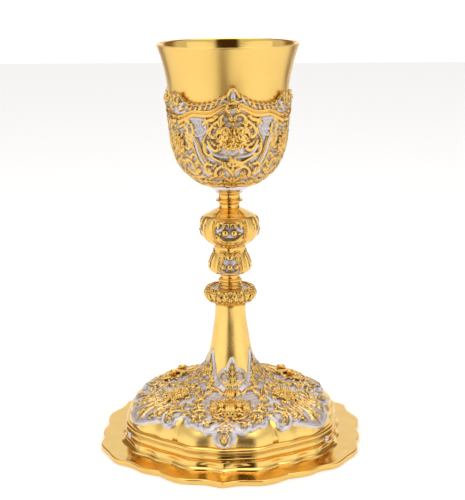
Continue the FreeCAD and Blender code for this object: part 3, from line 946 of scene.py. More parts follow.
def make_base():
    """The lobed flange with its turned-down edge, and the ridged gallery that stands on it."""
    azimuths = np.arange(1080) / 3.0
    edge = BASE_R * foot_edge(azimuths)[None, :]
    opening = 67.0
    sheet = 1.4
    top = FLANGE_TOP
    spread = np.arange(-18, 19)
    softened = sum(np.roll(edge, k, 1) for k in spread) / len(spread)

    def rows(line):
        """Points of a section given as (share of the lobed edge, level), or the round opening for None.

        The lobes' points soften with height.
        """
        radii = []
        for share, level in line:
            soft = ramp(level, top + 2, 4)
            radii.append(np.full_like(edge, opening) if share is None
                         else share * (edge + soft * (softened - edge)))
        return ring_points(np.vstack(radii), np.array([level for _, level in line]), azimuths)

    flange = [(None, top - sheet), (0.980, top - sheet), (0.984, top - sheet - 0.2), (0.984, 0.3),
              (0.987, 0), (0.996, 0), (0.999, 0.5), (0.9985, 1.6), (0.9995, top - 0.7), (0.9965, top - 0.2),
              (0.990, top), (0.975, top - 0.05), (0.955, top - 0.30), (0.90, top - 0.35), (0.84, top),
              (None, top)]
    piece = grid_object("lobed_flange", rows(flange))
    piece.data.set_sharp_from_angle(angle=math.radians(50))
    finish(piece, "stem", POLISHED, "polished_gold", "base_flange")

    band = [(0.788, top + 0.05), (0.845, top + 0.05), (0.842, 4.4), (0.830, 4.9), (0.820, 5.6), (0.815, 6.8),
            (0.815, 8.2), (0.811, 8.9), (0.803, 9.2), (0.803, 9.7), (0.812, 10.0), (0.818, 10.8),
            (0.8185, 12.0), (0.815, 13.2), (0.805, 13.9), (0.801, 14.4), (0.804, 14.9), (0.812, 15.2),
            (0.816, 16.0), (0.814, 17.0), (0.806, 17.7), (0.798, GALLERY_TOP), (None, GALLERY_TOP),
            (None, GALLERY_TOP - sheet), (0.788, GALLERY_TOP - sheet)]
    piece = grid_object("ridged_gallery", rows(band))
    piece.data.set_sharp_from_angle(angle=math.radians(50))
    finish(piece, "stem", POLISHED, "polished_gold", "gallery")


# ------------------------ the foot's relief

# The silver ground's edges on the dome, from a cartouche's middle to a bouquet's: (degrees, mm up)
DOME_LOW = [(0, 1.5), (3, 2.2), (5.5, 5.5), (5.2, 8.5), (3.8, 11.5), (7, 9.6), (11, 9.4), (12.5, 11),
            (17, 12.4), (20, 14), (22.5, 12.8), (25.5, 14.2), (27.5, 18.6), (30.5, 19.6), (32.5, 15),
            (34.5, 11), (38, 9.4), (42, 10.6), (45, 9.5), (50, 7), (55, 4.5), (60, 2.5)]
DOME_HIGH = [(0, 75), (3, 73), (6, 71), (8, 69.5), (9, 67.5), (12, 67.5), (18, 67), (24, 65), (28, 62.5),
             (31, 60), (34, 61), (38, 64), (42, 68), (47, 71), (52, 74), (56, 77), (60, 79)]
TWIN_SCROLLS = [                                                    # gold scrolls beside the cartouche
    [(6, 22.5), (7, 19), (13, 17.5), (18, 19), (18.5, 25)],
    [(5, 47), (12, 49), (20, 51.5), (27, 53), (30, 47)],
    [(6, 52.5), (10, 48.5), (15, 49), (20, 52)],
    [(30, 49), (33, 45), (31, 41), (34, 38)],
    [(8, 26), (14, 27), (20, 28.5), (25, 27)],
    [(22, 24), (24, 20), (22, 18)],
    [(30, 27), (28, 32), (31, 36), (37, 37)],
    [(28, 24), (34, 24.5), (40, 21), (41, 15.5)],
]
FALLING_FRONDS = [                                                  # measured from a bouquet's middle
    [(2, 29), (3, 22), (2, 14), (3, 9)],
    [(7, 30), (9, 24), (8, 18), (10, 12)],
    [(12, 31), (14, 25), (11, 20), (13, 14), (16, 13)],
    [(19, 32), (20, 27), (17, 24)],
    [(3, 47), (8, 50), (13, 48), (17, 43)],
    [(1, 54), (6, 57), (13, 57), (21, 55)],
    [(2, 62), (9, 63), (16, 61), (25, 58)],
    [(2, 70), (8, 69), (13, 66)],
]


DOME_VOLUTES = [                                                    # (place, radius, start, hand)
    ((37.5, 14), 3.4, 120, -1), ((7.5, 49.5), 1.9, 60, 1), ((29, 52), 1.7, 200, -1), ((19, 22), 1.6, 90, -1),
    ((33, 41), 1.8, 0, 1), ((25, 30.5), 1.9, 240, 1),
]
SILVER_VOLUTES = [((14.5, 14.8), 1.9, 250, 1), ((24.5, 17.5), 1.9, 60, -1), ((46, 12), 1.9, 250, 1)]
BOUQUET_VOLUTES = [((10, 11.5), 2.2, 30, 1), ((18.5, 57), 1.7, 150, -1), ((14, 38), 1.8, 200, 1),
                   ((4, 66), 1.7, 60, -1)]
PALMETTE = [((0, 55.5), (12, 61), 3.3), ((0, 58), (10, 65.5), 3.1), ((0, 64), (9, 69.5), 2.6),
            ((0, 68), (6, 72.5), 2.2)]
DOME_LEAVES = [                                                     # (base, tip, width)
    ((30, 32), (23, 36), 2.8), ((30, 33), (38, 30), 3.0), ((31, 28), (24, 24), 2.6),
    ((36, 26), (44, 28), 2.8), ((33, 36), (39, 42), 3.0), ((27, 22), (20, 21), 2.0),
    ((36, 44), (42, 50), 2.8), ((38, 50), (35, 57), 2.4), ((28, 30), (21, 32), 2.2),
]
DOME_BOUQUET_LEAVES = [                                             # measured from a bouquet's middle
    ((0, 26), (0, 15), 2.6), ((6, 26), (5, 16), 2.4), ((14, 24), (18, 18), 2.4), ((0, 45), (0, 56), 3.0),
    ((5, 44), (10, 52), 2.6), ((11, 43), (18, 49), 2.4), ((0, 58), (0, 68), 2.2), ((3, 60), (8, 66), 1.8),
    ((0, 12), (5, 8), 2.2), ((0, 70), (0, 77), 1.6),
]
DOME_EDGE_LEAVES = [                                                # along the border and between scrolls
    ((41, 22), (46, 15), 2.6), ((46, 20), (49, 12), 2.4), ((52, 16), (50, 9.5), 2.4),
    ((14, 22), (21, 24), 2.4), ((20, 33), (14, 32), 2.4), ((34, 52), (40, 58), 2.4),
    ((37, 60), (43, 65), 2.2), ((46, 62), (51, 69), 2.2), ((9, 13.5), (17, 18), 2.6),
    ((18, 15.5), (24, 21), 2.6), ((10, 20.5), (3, 26), 2.4), ((33, 20), (27, 23), 2.4),
    ((44, 37), (50, 42), 2.6), ((47, 32), (53, 27), 2.6),
]
DOME_BEADS = [(20, 23), (26, 26), (9, 24), (30, 21), (44, 13), (32, 56), (26, 57)]


def dome_ground(relief):
    """The silver ground with its raised silver border. The dome and cone round it stay plain and satin."""
    field = relief.inside(np.vstack([through(DOME_LOW, 6), through(DOME_HIGH, 6)[::-1]]))
    relief.ground(field, 0.25)
    for edge in (DOME_LOW, DOME_HIGH):
        relief.strand(edge, 2.8, 0.8, SILVER)
        relief.strand(edge, 0.8, 1.1, SILVER)


def dome_pendant(relief):
    """The drop at the bottom of the cartouche, with its pineapple and lattice."""
    turn = np.radians(np.arange(0, 361, 20))
    oval = np.stack([3.1 * np.sin(turn), 6.3 - 4.2 * np.cos(turn)], -1)
    relief.line(oval, 1.3, 1.3)
    relief.bead((0, 6), 2.0, 1.5, tall=1.35, hatched=True)
    for rise in (0, 3.2, 6.4):
        relief.strand([(0, 10 + rise), (2, 11.5 + rise), (4, 14 + rise)], 0.8, 0.9)
        relief.strand([(4, 10 + rise), (2, 12 + rise), (0, 14 + rise)], 0.8, 0.9)
    relief.flower((0, 20.5), 2.6, 6, 1.7)
    relief.strand([(0, 24.4), (4, 23.6), (6.5, 20.5)], 1.0, 0.9, SILVER)
    relief.leaf((1, 11), (6, 13.5), 1.8, 1.3)


def dome_palmette(relief):
    """The palmette over the cartouche, up the foot of the cone."""
    relief.strand([(0, 54), (0, 63), (0, 72)], 1.7, 1.7, ends=(1.2, 0.4))
    relief.leaves(PALMETTE, 1.6, lobes=0)
    relief.strand([(4, 59), (10, 64), (17, 65.5), (24, 63), (21, 60), (17, 61)], 1.5, 1.5,
                  ends=(0.6, 1.0))
    relief.strand([(8, 58), (15, 60.5), (20, 59), (24, 56.5)], 1.2, 1.2, SILVER)
    relief.leaf((6, 56), (16, 56.5), 2.6, 1.3)
    relief.leaf((10, 57), (22, 60.5), 2.4, 1.4)


def dome_panels(relief):
    """The cross-hatched silver panels beside the cartouche, each with a raised edge."""
    corners = [(12, 47), (20, 49), (28, 48.5), (31, 43), (27, 38), (20, 36), (13, 37), (11, 41)]
    relief.hatch(relief.inside(corners), 1.5, 0.7, slants=(0, 90))
    relief.strand(corners + corners[:1], 0.8, 0.9, SILVER)


def dome_scrolls(relief):
    """Scrolls, volutes and leaves, spread over the silver ground."""
    relief.strands(TWIN_SCROLLS, 2.5, 1.8, ends=(0.7, 1.1), crease=0.3)
    relief.strands(FALLING_FRONDS, 2.5, 1.7, ends=(0.6, 1.1), crease=0.3, side=BOUQUET)
    relief.volutes(DOME_VOLUTES, 1.4, 1.6, 1.9)
    relief.volutes(BOUQUET_VOLUTES, 1.4, 1.5, 1.7, side=BOUQUET)
    turn = np.radians(np.arange(150, 391, 20))                      # silver crescent round the big volute
    crescent = relief.place([(37.5, 13.6)])[0] + 5.6 * np.stack([np.cos(turn), np.sin(turn)], -1)
    relief.line(crescent, 3.4, 1.5, SILVER, ends=(0.5, 0.9))
    relief.leaves(DOME_LEAVES, 1.9)
    relief.leaves(DOME_BOUQUET_LEAVES, 1.8, side=BOUQUET)
    relief.volutes(SILVER_VOLUTES, 1.2, 1.3, 1.5, SILVER)
    relief.leaves(DOME_EDGE_LEAVES, 1.8)
    for place in DOME_BEADS:
        relief.bead(place, 0.9, 1.3)


def dome_lean(v):
    """The chased relief leans a little to the right on its way up the dome, in degrees."""
    start, rise, most = 8.0, 55.0, 6.5
    return most * eased(ramp(v, start, rise))


def foot_swell(relief, azimuths, reach):
    """How far the dome's skin is pushed out at each point, so that its bottom follows the lobed edge."""
    lobes = 0.785 * BASE_R * foot_edge(azimuths)[None, :] / relief.section.r[0]
    fade = eased(1 - ramp(relief.unfolded(relief.v), 0, reach))
    crease = groove(folded(azimuths), FOOT_EDGE[CREASE][0], 0.9)[None, :]
    return (1 + (lobes - 1) * fade) * (1 - 0.006 * crease * fade)


def make_foot():
    """The raised foot: a plain trumpet that flares into the dome with its two-colour relief."""
    section = Section([(71.4, GALLERY_TOP), (70.4, 21.8), (66.0, 27.0), (54.5, 32.0), (44.5, 34.9),
                       (34.5, 37.4), (24.9, 42.4), (18.8, 50.8), (15.1, 61.6), (12.5, 76.0), (10.7, 89.0),
                       (10.6, FOOT_TOP)], 0.6, fine_to=84)
    relief = Relief(section, 108)
    dome_ground(relief)
    dome_panels(relief)
    dome_pendant(relief)
    dome_palmette(relief)
    dome_scrolls(relief)
    swell = foot_swell(relief, relief.azimuths(0), 24)
    piece = relief_shell("foot_relief", relief, 0, wall=1.2, swell=swell, lean=dome_lean)
    finish(piece, "stem", RELIEF_METAL, "satin_gold", "foot")
    return section


# ------------------------ the calyx

# The crest's upper edge from a cartouche's middle to a bouquet's: (degrees, mm up the calyx)
CREST = [(0, 83), (2.5, 81.4), (5, 78.4), (8, 76.6), (11, 76.2), (14, 74.2), (20, 72.4), (30, 71.2),
         (40, 71.2), (46, 72.6), (49, 74.6), (52, 77), (55, 76.4), (57, 75.6), (60, 77)]
CALYX_SCROLLS = [                                                   # from a cartouche's middle
    [(1, 61.5), (3, 64), (7, 64.6), (11, 62.5), (12, 58)],
    [(14, 60), (19, 57), (22, 52), (18, 49.5), (15, 52)],
    [(28, 40), (24, 38), (16, 34.8), (8, 32.8), (0, 33.6)],
    [(0, 24), (6, 28), (12, 29.5), (18, 27), (20, 22.5), (14, 21.5), (11, 24)],
    [(10, 20.5), (16, 21.5), (24, 20.5), (30, 18.5)],
    [(3, 12), (5, 17), (10, 20)],
    [(22, 31), (28, 31.5), (31, 28), (28, 25)],
    [(24, 47), (21, 43), (16, 41), (13, 42.5)],
    [(28, 58), (24, 60.5), (19, 61), (15, 63.5)],
    [(21, 38), (25, 38), (28, 41), (28, 45)],
    [(0, 30.6), (6, 31), (11, 33)],
    [(3, 8), (12, 9.5), (24, 9), (38, 8), (50, 9.5), (60, 8.5)],
    [(8, 14), (16, 14.5), (24, 12.5), (32, 15)],
]
CALYX_STRAPS = [
    [(49, 52), (42, 50.5), (36.5, 48.5), (34, 44), (32, 39), (28.5, 33.5)],
    [(46, 48), (40.5, 46.6), (39, 42), (37, 36), (33, 29.5)],
]
CALYX_SIDE_SCROLLS = [                                              # from a bouquet's middle
    [(2, 30), (6, 33), (12, 32), (16, 28)],
    [(3, 26), (8, 23), (15, 23), (20, 26)],
    [(4, 55), (9, 56.5), (14, 53), (12, 49)],
    [(1, 19), (8, 18.5), (15, 19.5), (24, 21)],
    [(5, 66), (9, 69), (14, 68), (16, 65.5)],
    [(20, 41), (17, 44.5), (18, 49), (21, 52.5), (20, 57)],
    [(14, 35), (18, 37.5), (22, 36), (24, 31.5)],
    [(2, 14.5), (9, 15.5), (16, 14), (22, 15.5)],
    [(6, 60), (12, 60.5), (17, 58.5)],
    [(8, 42), (13, 41), (15, 44), (12, 46.5)],
]


CALYX_VOLUTES = [((3, 61.4), 1.9, 90, 1), ((18.5, 51), 1.8, 0, -1), ((13.5, 24.5), 1.9, 90, 1),
                 ((27, 27), 1.7, 180, -1), ((9, 59.5), 1.7, 60, -1), ((42, 31), 2.1, 100, 1)]
CALYX_LEAVES = [
    ((0, 13), (0, 24), 4.2), ((6, 17), (12, 24), 2.4), ((0, 26), (0, 33), 2.6),
    ((24, 22), (27, 30), 2.6), ((30, 30), (24, 34), 2.2), ((16, 44), (22, 48), 2.6),
    ((22, 58), (27, 64), 2.2), ((7, 29), (12, 32.5), 2.0), ((20, 29), (16, 33), 2.2),
    ((0, 40), (0, 46), 2.2), ((30, 46), (26, 50), 2.2), ((0, 34), (5, 38.5), 2.4),
    ((12, 44), (19, 45.5), 3.0), ((14, 55), (21, 58.5), 2.8), ((20, 12), (27, 16.5), 3.0),
]
CALYX_SIDE_LEAVES = [                                               # from a bouquet's middle
    ((0, 48), (0, 56), 2.8), ((4, 48), (9, 53), 2.4), ((0, 34), (0, 27), 2.8), ((5, 34), (9, 28), 2.4),
    ((9, 37), (16, 34), 2.4), ((10, 46), (17, 49), 2.4), ((0, 17), (0, 25), 3.0), ((18, 62), (12, 58), 2.2),
    ((16, 24), (13, 30), 2.4), ((3, 57), (6, 63.5), 2.8), ((14, 50), (16, 56), 2.6), ((7, 12), (14, 17), 3.0),
    ((19, 28), (22, 34), 2.6), ((20, 24), (24, 27.5), 2.4),
]
CALYX_BEADS = [(20, 62), (30, 37), (6, 38.6), (12, 39.6), (29, 63), (24, 54)]


def calyx_ground(relief):
    """The silver ground above the bare gold bottom, with silver drops between its gold arcs."""
    relief.ground(relief.v > 17, 0.1)
    relief.ground(relief.inside([(14, 12), (26, 12), (30, 17), (22, 19), (13, 18)]), 0.0)
    relief.ground(relief.inside([(0, 12), (12, 12), (12, 17), (6, 19), (0, 18)], side=BOUQUET), 0.0)


def calyx_panels(relief):
    """The diapered silver panels under the moulding."""
    corners = [(26, 60.5), (34, 61.5), (43, 60.5), (46, 57), (41, 51), (33, 50), (26, 53)]
    relief.hatch(relief.inside(corners), 2.1, 1.0, slants=(35, -40))
    relief.strand(corners + corners[:1], 1.0, 1.0, SILVER)
    relief.strand([(24, 61), (23.5, 54), (28, 48.5)], 1.5, 1.6)
    relief.strand([(47, 60), (48, 55), (43, 50)], 1.5, 1.6)


def calyx_scrolls(relief):
    """Straps, scrolls and leaves over the silver ground."""
    relief.strands(CALYX_SCROLLS, 3.1, 1.8, ends=(0.8, 1.0), crease=0.35)
    relief.strands(CALYX_SIDE_SCROLLS, 3.1, 1.7, ends=(0.8, 1.0), crease=0.35, side=BOUQUET)
    relief.strands(CALYX_STRAPS, 1.9, 1.9)
    relief.strand([(25, 43.5), (20, 39.2), (13, 37), (9, 36.6)], 2.2, 1.3, SILVER)
    strap = [(47, 50), (41, 48.6), (37.6, 45), (36, 40), (33, 34), (31, 31)]
    relief.strand(strap, 2.4, 1.2, SILVER)
    relief.volutes(CALYX_VOLUTES, 1.4, 1.1, 1.9)
    relief.leaves(CALYX_LEAVES, 1.9)
    relief.leaves(CALYX_SIDE_LEAVES, 1.8, side=BOUQUET)
    for place in CALYX_BEADS:
        relief.bead(place, 0.8, 1.4)


def crest_top(u):
    """The crest's scalloped upper edge, as mm up the calyx."""
    return edge_curve(CREST)(u) + 0.9 * np.abs(np.sin(np.pi * u / 5)) - 0.3


def calyx_crest(relief):
    """The pierced-looking crest over the moulding: gold edge, palmettes and small leaves on silver. The
    pierced look is painted shade on the low silver ground between the forms.
    """
    relief.ground(relief.v > 66, 0.2)
    edge = edge_curve(CREST)
    relief.strand([(u, v - 0.9) for u, v in CREST], 1.3, 1.3)
    for u in np.arange(7.5, 53, 5):
        top = edge(u)
        relief.bead((u, top - 0.3), 1.35, 2.2)
        relief.leaf((u + 3, top - 4.6), (u + 0.5, top - 1.4), 2.3, 1.6)
    for u in (17, 30, 42):
        relief.volute((u, edge(u) - 3.0), 1.3, 1.2, 90, -1, 1.0, 1.5)
    relief.leaf((0, 73.5), (0, 80.5), 4.2, 1.5, SILVER)
    relief.strand([(0, 81.2), (2.5, 79.2), (4.5, 76.6), (8, 75.6)], 1.3, 2.0)
    relief.leaf((0, 73), (6.5, 76.2), 2.2, 1.9)
    relief.leaf((3, 72), (11, 75), 2.2, 1.8, SILVER)
    relief.bead((0, 74.2), 1.3, 2.3)
    relief.bead((0, 80.9), 1.0, 2.4)
    relief.leaf((0, 68), (0, 77.5), 3.8, 2.1, lobes=3, side=BOUQUET)
    relief.leaf((2, 68), (8, 76.5), 3.0, 2.0, lobes=3, side=BOUQUET)
    relief.leaf((6, 67), (13, 72), 2.8, 1.9, SILVER, side=BOUQUET)
    relief.leaf((3, 66), (14, 68), 2.4, 1.7, side=BOUQUET)
    relief.volute((8.5, 70.5), 2.1, 1.3, 120, 1, 1.3, 2.1, side=BOUQUET)


def make_calyx():
    """The two-colour basket with its crest of six peaks."""
    underside = CALYX_FOOT + 1.0
    hub_r = 12.1
    section = Section([(hub_r, underside), (18.6, 182.3), (25.4, 186.9), (31.0, 192.2), (34.2, 198.4),
                       (36.9, 206.4), (38.6, 216.8), (39.8, 228.0), (41.0, 238.0), (42.6, 250.0)], 0.5)
    relief = Relief(section, 96, GOLD, top=crest_top, squeezed_from=62.0)
    calyx_ground(relief)
    calyx_panels(relief)
    calyx_scrolls(relief)
    calyx_crest(relief)
    boss_clear, floor = 6.3, 1.0
    closing = [(hub_r, underside + floor), (boss_clear, underside + floor), (boss_clear, underside)]
    piece = relief_shell("calyx_relief", relief, CALYX_TURN, wall=0.5, closing=closing)
    finish(piece, "stem", RELIEF_METAL, "silver_and_gold_relief", "calyx")
    return section


# The moulding's level from a cartouche's middle to a bouquet's: (degrees, mm up the calyx)
MOULDING_PATH = [(0, 70.6), (4, 70.3), (8, 69.6), (14, 67.4), (19, 65.6), (24, 65.0), (38, 64.8), (43, 63.6),
                 (50, 61.4), (56, 60.2), (60, 60.6)]


def make_moulding(section):
    """The bracket-shaped gold moulding: two ridges that rise to a clasp over each cartouche."""
    ridge = [(-2.9, -0.4), (-2.8, 0.6), (-2.3, 1.5), (-1.4, 2.1), (-0.5, 2.0), (0.2, 1.3), (0.55, 0.55),
             (0.85, 1.1), (1.4, 1.7), (2.0, 1.6), (2.5, 0.9), (2.6, -0.4)]
    azimuths = np.arange(720) / 2.0
    side = folded(azimuths)
    middle = edge_curve(through(MOULDING_PATH))(side)
    clasp = 0.35 + 0.65 * eased(ramp(side, 3.5, 3.5))               # the ridges sink under the clasp
    knuckle = 1 + 0.25 * groove(side, 55, 3.0)
    rows = [section.point(middle + across * knuckle, out * clasp * knuckle if out > 0 else out)
            for across, out in ridge]
    radii = np.array([row[0] for row in rows])
    levels = np.array([row[1] for row in rows])
    bands = [grid_object("band", ring_points(radii, levels, azimuths + CALYX_TURN))]

    clasp_up = 70.4
    scroll = Casting()
    scroll.limb([(2.0, -4.4, 1.4), (3.4, -3.6, 1.9), (4.2, -1.4, 2.2), (3.6, 0.8, 2.2), (5.6, 1.8, 1.8)],
                0.75, 0.6)
    scroll.curl((2.9, -3.2, 1.6), 1.1, 1.0, 20, 0.5)
    scroll.limb([(-4.4, 2.7, 1.4), (0, 3.1, 1.9), (4.4, 2.7, 1.4)], 0.7, twin=False)
    scroll.limb([(-3.4, -1.9, 1.4), (0, -1.6, 1.8), (3.4, -1.9, 1.4)], 0.6, twin=False)
    cast = scroll.skin(0.2)
    for azimuth in thirds(CALYX_TURN):
        bands.append(new_object("clasp", scroll.bent(cast, section, clasp_up, azimuth, 0.2)))
    piece = joined("bracket_moulding", bands)
    finish(piece, "stem", POLISHED, "polished_gold", "calyx_moulding")


# ------------------------ knops and collar

def ribbed(relief, bottom, top, fade, grooves):
    """How far a skin is pulled in by grooves between its ribs, given as (azimuth, width, depth).

    They fade out towards the levels of the bottom and the top.
    """
    side = folded(relief.azimuths(0))[None, :]
    z = relief.section.level(relief.unfolded(relief.v))
    waist = ramp(np.minimum(z - bottom, top - z), 0, fade)
    return 1 - waist * sum(depth * groove(side, azimuth, width) for azimuth, width, depth in grooves)


def finish_knop(name, relief, swell, top, foot, node):
    """Close a piece of the stem round the tie rod's bore, and finish it."""
    closing = [(ROD_CLEAR_R, top), (ROD_CLEAR_R, foot)]
    piece = relief_shell(name, relief, KNOP_TURN, closing=closing, swell=swell)
    finish(piece, "stem", RELIEF_METAL, "silver_and_gold_relief", node)


def make_knop():
    """The large knop: gold lobes round three silver panels, each with petals, beads and a ribbed swag."""
    section = Section([(11.0, KNOP_FOOT), (14.5, 140.2), (18.2, 143.7), (20.0, 149.5), (19.3, 155.2),
                       (16.9, 159.2), (14.6, KNOP_TOP)], 0.35)
    relief = Relief(section, 64, GOLD, by_height=True)
    panel = [(-30, 138.5), (27, 139), (31, 146), (30, 154), (24, 157), (-24, 157)]
    relief.ground(relief.inside(panel), -0.9)
    relief.strand(panel[1:5], 1.5, 0.5)
    relief.strand([(0, 156.6), (12, 157), (24, 156.6)], 2.4, 0.8)
    for u in (0, 12, 23):                                           # petals that hang from the top border
        relief.leaf((u, 156.8), (u, 152.6), 3.0, 1.0)
    relief.bead((8.5, 150.2), 2.3, 1.8)
    relief.bead((19, 149.6), 1.2, 1.0)
    for rise, width, height in ((0, 3.4, 1.3), (2.6, 2.6, 1.4)):    # a ribbed swag
        relief.strand([(0, 141.8 + rise), (12, 142.4 + rise), (25, 146 + rise)], width, height,
                      ends=(1.2, 0.6), crease=0.4)
    relief.leaf((0, 138.6), (0, 142), 4, 0.8)
    relief.leaf((6, 139), (16, 142), 2.6, 0.8)
    swell = ribbed(relief, KNOP_FOOT + 1, KNOP_TOP - 1.2, 5, [(33, 2.2, 0.10), (SECTOR, 2.4, 0.08)])
    finish_knop("knop_relief", relief, swell, KNOP_TOP, KNOP_FOOT, "knop")


def make_lower_knop():
    """The pear-shaped knop: gold ribs round three bell-shaped silver panels."""
    section = Section([(8.8, PEAR_FOOT), (12.6, PEAR_FOOT + 0.9), (14.3, 122.0), (14.0, 125.4), (12.8, 129.6),
                       (10.9, 133.5), (11.0, KNOP_FOOT)], 0.3)
    relief = Relief(section, 56, GOLD, by_height=True)
    panel = [(-30, 119.8), (28, 119.8), (31, 123), (25, 127), (20, 131), (-20, 131)]
    relief.ground(relief.inside(panel), -0.5)
    relief.strand(panel[1:5], 1.2, 0.7)
    relief.bead((0, 125.0), 2.0, 1.5)
    relief.bead((18, 125.0), 1.8, 1.2)
    relief.bead((0, 131.6), 2.4, 1.4)
    relief.strand([(0, 121.4), (10, 121.7), (22, 122.8)], 1.2, 0.8)
    relief.strand([(16, 132), (26, 133.6), (36, 133)], 1.4, 0.9)
    relief.strand([(14, 134.4), (26, 135.2), (38, 134.6)], 1.0, 0.7)
    relief.leaf((4, 134), (16, 130), 2.0, 0.9)
    swell = ribbed(relief, PEAR_FOOT + 0.8, 133.0, 4, [(34, 2.6, 0.09), (SECTOR, 3.0, 0.081)])
    finish_knop("lower_knop_relief", relief, swell, KNOP_FOOT, PEAR_FOOT, "lower_knop")


def make_collar():
    """The rosette collar: a rim of gold scrolls round a silver dish."""
    section = Section([(10.8, FOOT_TOP), (13.8, 98.9), (16.2, 100.4), (17.6, 102.6), (17.4, 105.0),
                       (16.0, 106.9), (14.0, 107.4), (11.0, 106.2), (8.6, COLLAR_SEAT)], 0.3)
    relief = Relief(section, 72, GOLD)
    relief.ground(relief.v > 16.6, 0.0)
    for u in (0, 30, 60):
        relief.bead((u, 6.0), 1.3, 1.0)
        relief.leaf((u, 3.5), (u, 12.5), 3.0, 1.0)
        relief.bead((u, 14.2), 1.9, 1.3)
        relief.volute((u + 7, 11.2), 1.9, 1.3, 120, -1, 1.3, 1.1)
    for u in (15, 45):
        relief.leaf((u, 3.0), (u, 12.8), 3.8, 1.1, lobes=3)
        relief.volute((u - 5, 13.6), 1.9, 1.2, 60, 1, 1.3, 1.2)
        relief.volute((u + 5, 13.6), 1.9, 1.2, 120, -1, 1.3, 1.2)
        relief.strand([(u - 7, 5.5), (u, 4.2), (u + 7, 5.5)], 1.2, 0.9)
    relief.strand([(0, 16.8), (30, 16.8), (60, 16.8)], 1.0, 0.8)
    v = relief.unfolded(relief.v)
    rim = ramp(np.minimum(v, 16.5 - v), 3, 3)
    scallops = (1 - np.cos(np.radians(12 * relief.azimuths(0))))[None, :]
    finish_knop("collar_rosette", relief, 1 - 0.025 * rim * scallops, COLLAR_SEAT, FOOT_TOP, "collar")


# ------------------------ the castings

def make_dome_cartouches(section):
    """Two cherubs' heads over a scrolled frame, with a fluted vase above them."""
    cast = Casting()
    cast.ball((0, -2.5, 0.2), (10.5, 7.5, 1.5), twin=False)         # backing
    cast.head((6.0, -1.6, 3.2), 3.1, turn=-0.25)
    cast.wing((8.0, -2.6, 1.0), 6.4, 78)
    cast.ball((5.8, -5.6, 1.6), (3.0, 2.0, 2.0), 20)                # shoulders under the chins
    for x in (0.0, 1.2, 2.4):                                       # drapery between the heads
        cast.limb([(x * 1.1, -6.5, 1.4), (x, -2, 2.6), (x * 0.8, 3.5, 2.2), (x * 0.7, 6.5, 1.6)], 0.75, 0.6,
                  twin=x > 0)
    cast.limb([(0.5, 7.0, 2.0), (3.4, 5.2, 2.4), (6.5, 5.0, 1.8), (9.5, 6.8, 1.0)], 0.8, 0.5)
    for x, y, size in ((0, 7.6, 1.5), (2.6, 6.6, 1.2), (5.2, 5.8, 1.0), (8.0, 6.6, 0.9)):
        cast.ball((x, y, 2.0), size, twin=x > 0)                    # fruit along the garland
    for x in (0.0, 1.35, 2.6):                                      # the fluted vase
        cast.limb([(x * 0.7, 8.5, 1.0), (x * 0.8, 12, 1.6), (x * 1.1, 16, 1.7), (x * 1.3, 18.0, 1.2)], 0.72,
                  0.8, twin=x > 0)
    cast.limb([(0, 18.4, 1.6), (2.2, 18.2, 1.5), (3.9, 17.2, 1.0)], 0.7, 0.6)
    cast.limb([(0, 10.0, 2.0), (1.4, 9.9, 1.8), (2.6, 9.3, 1.2)], 0.6, 0.5)
    cast.limb([(1.0, -13.0, 1.0), (5.0, -14.5, 1.6), (9.5, -13.0, 1.8), (12.0, -9.0, 1.5),
               (11.0, -5.5, 1.2)], 0.6, 1.0)
    cast.curl((9.6, -6.8, 1.4), 1.8, 1.2, 30, 0.7)
    cast.curl((3.2, -11.2, 1.3), 1.7, 1.2, 250, 0.65, hand=-1)
    cast.limb([(0, -8.6, 1.8), (3.5, -8.4, 1.8), (7.0, -9.2, 1.6), (9.0, -11.0, 1.2)], 0.8, 0.5)
    for x in (1.2, 3.4, 5.6):
        cast.ball((x, -8.6 - 0.05 * x * x, 2.2), 0.75)
    cast.leaf((9.0, 1.0, 1.0), (14.4, 5.8, 0.8), 3.4, 0.8)
    cast.leaf((9.5, -0.5, 1.0), (14.8, 1.0, 0.8), 3.0, 0.8)
    cast.leaf((9.5, -4.0, 1.0), (14.6, -6.0, 0.8), 2.8, 0.8)
    cast.leaf((0, -12.0, 1.0), (0, -7.0, 1.8), 2.6, 0.7, twin=False)
    cast.solder("dome_cartouche", section, DOME_MIDDLE - 0.5, thirds(DOME_TURN))


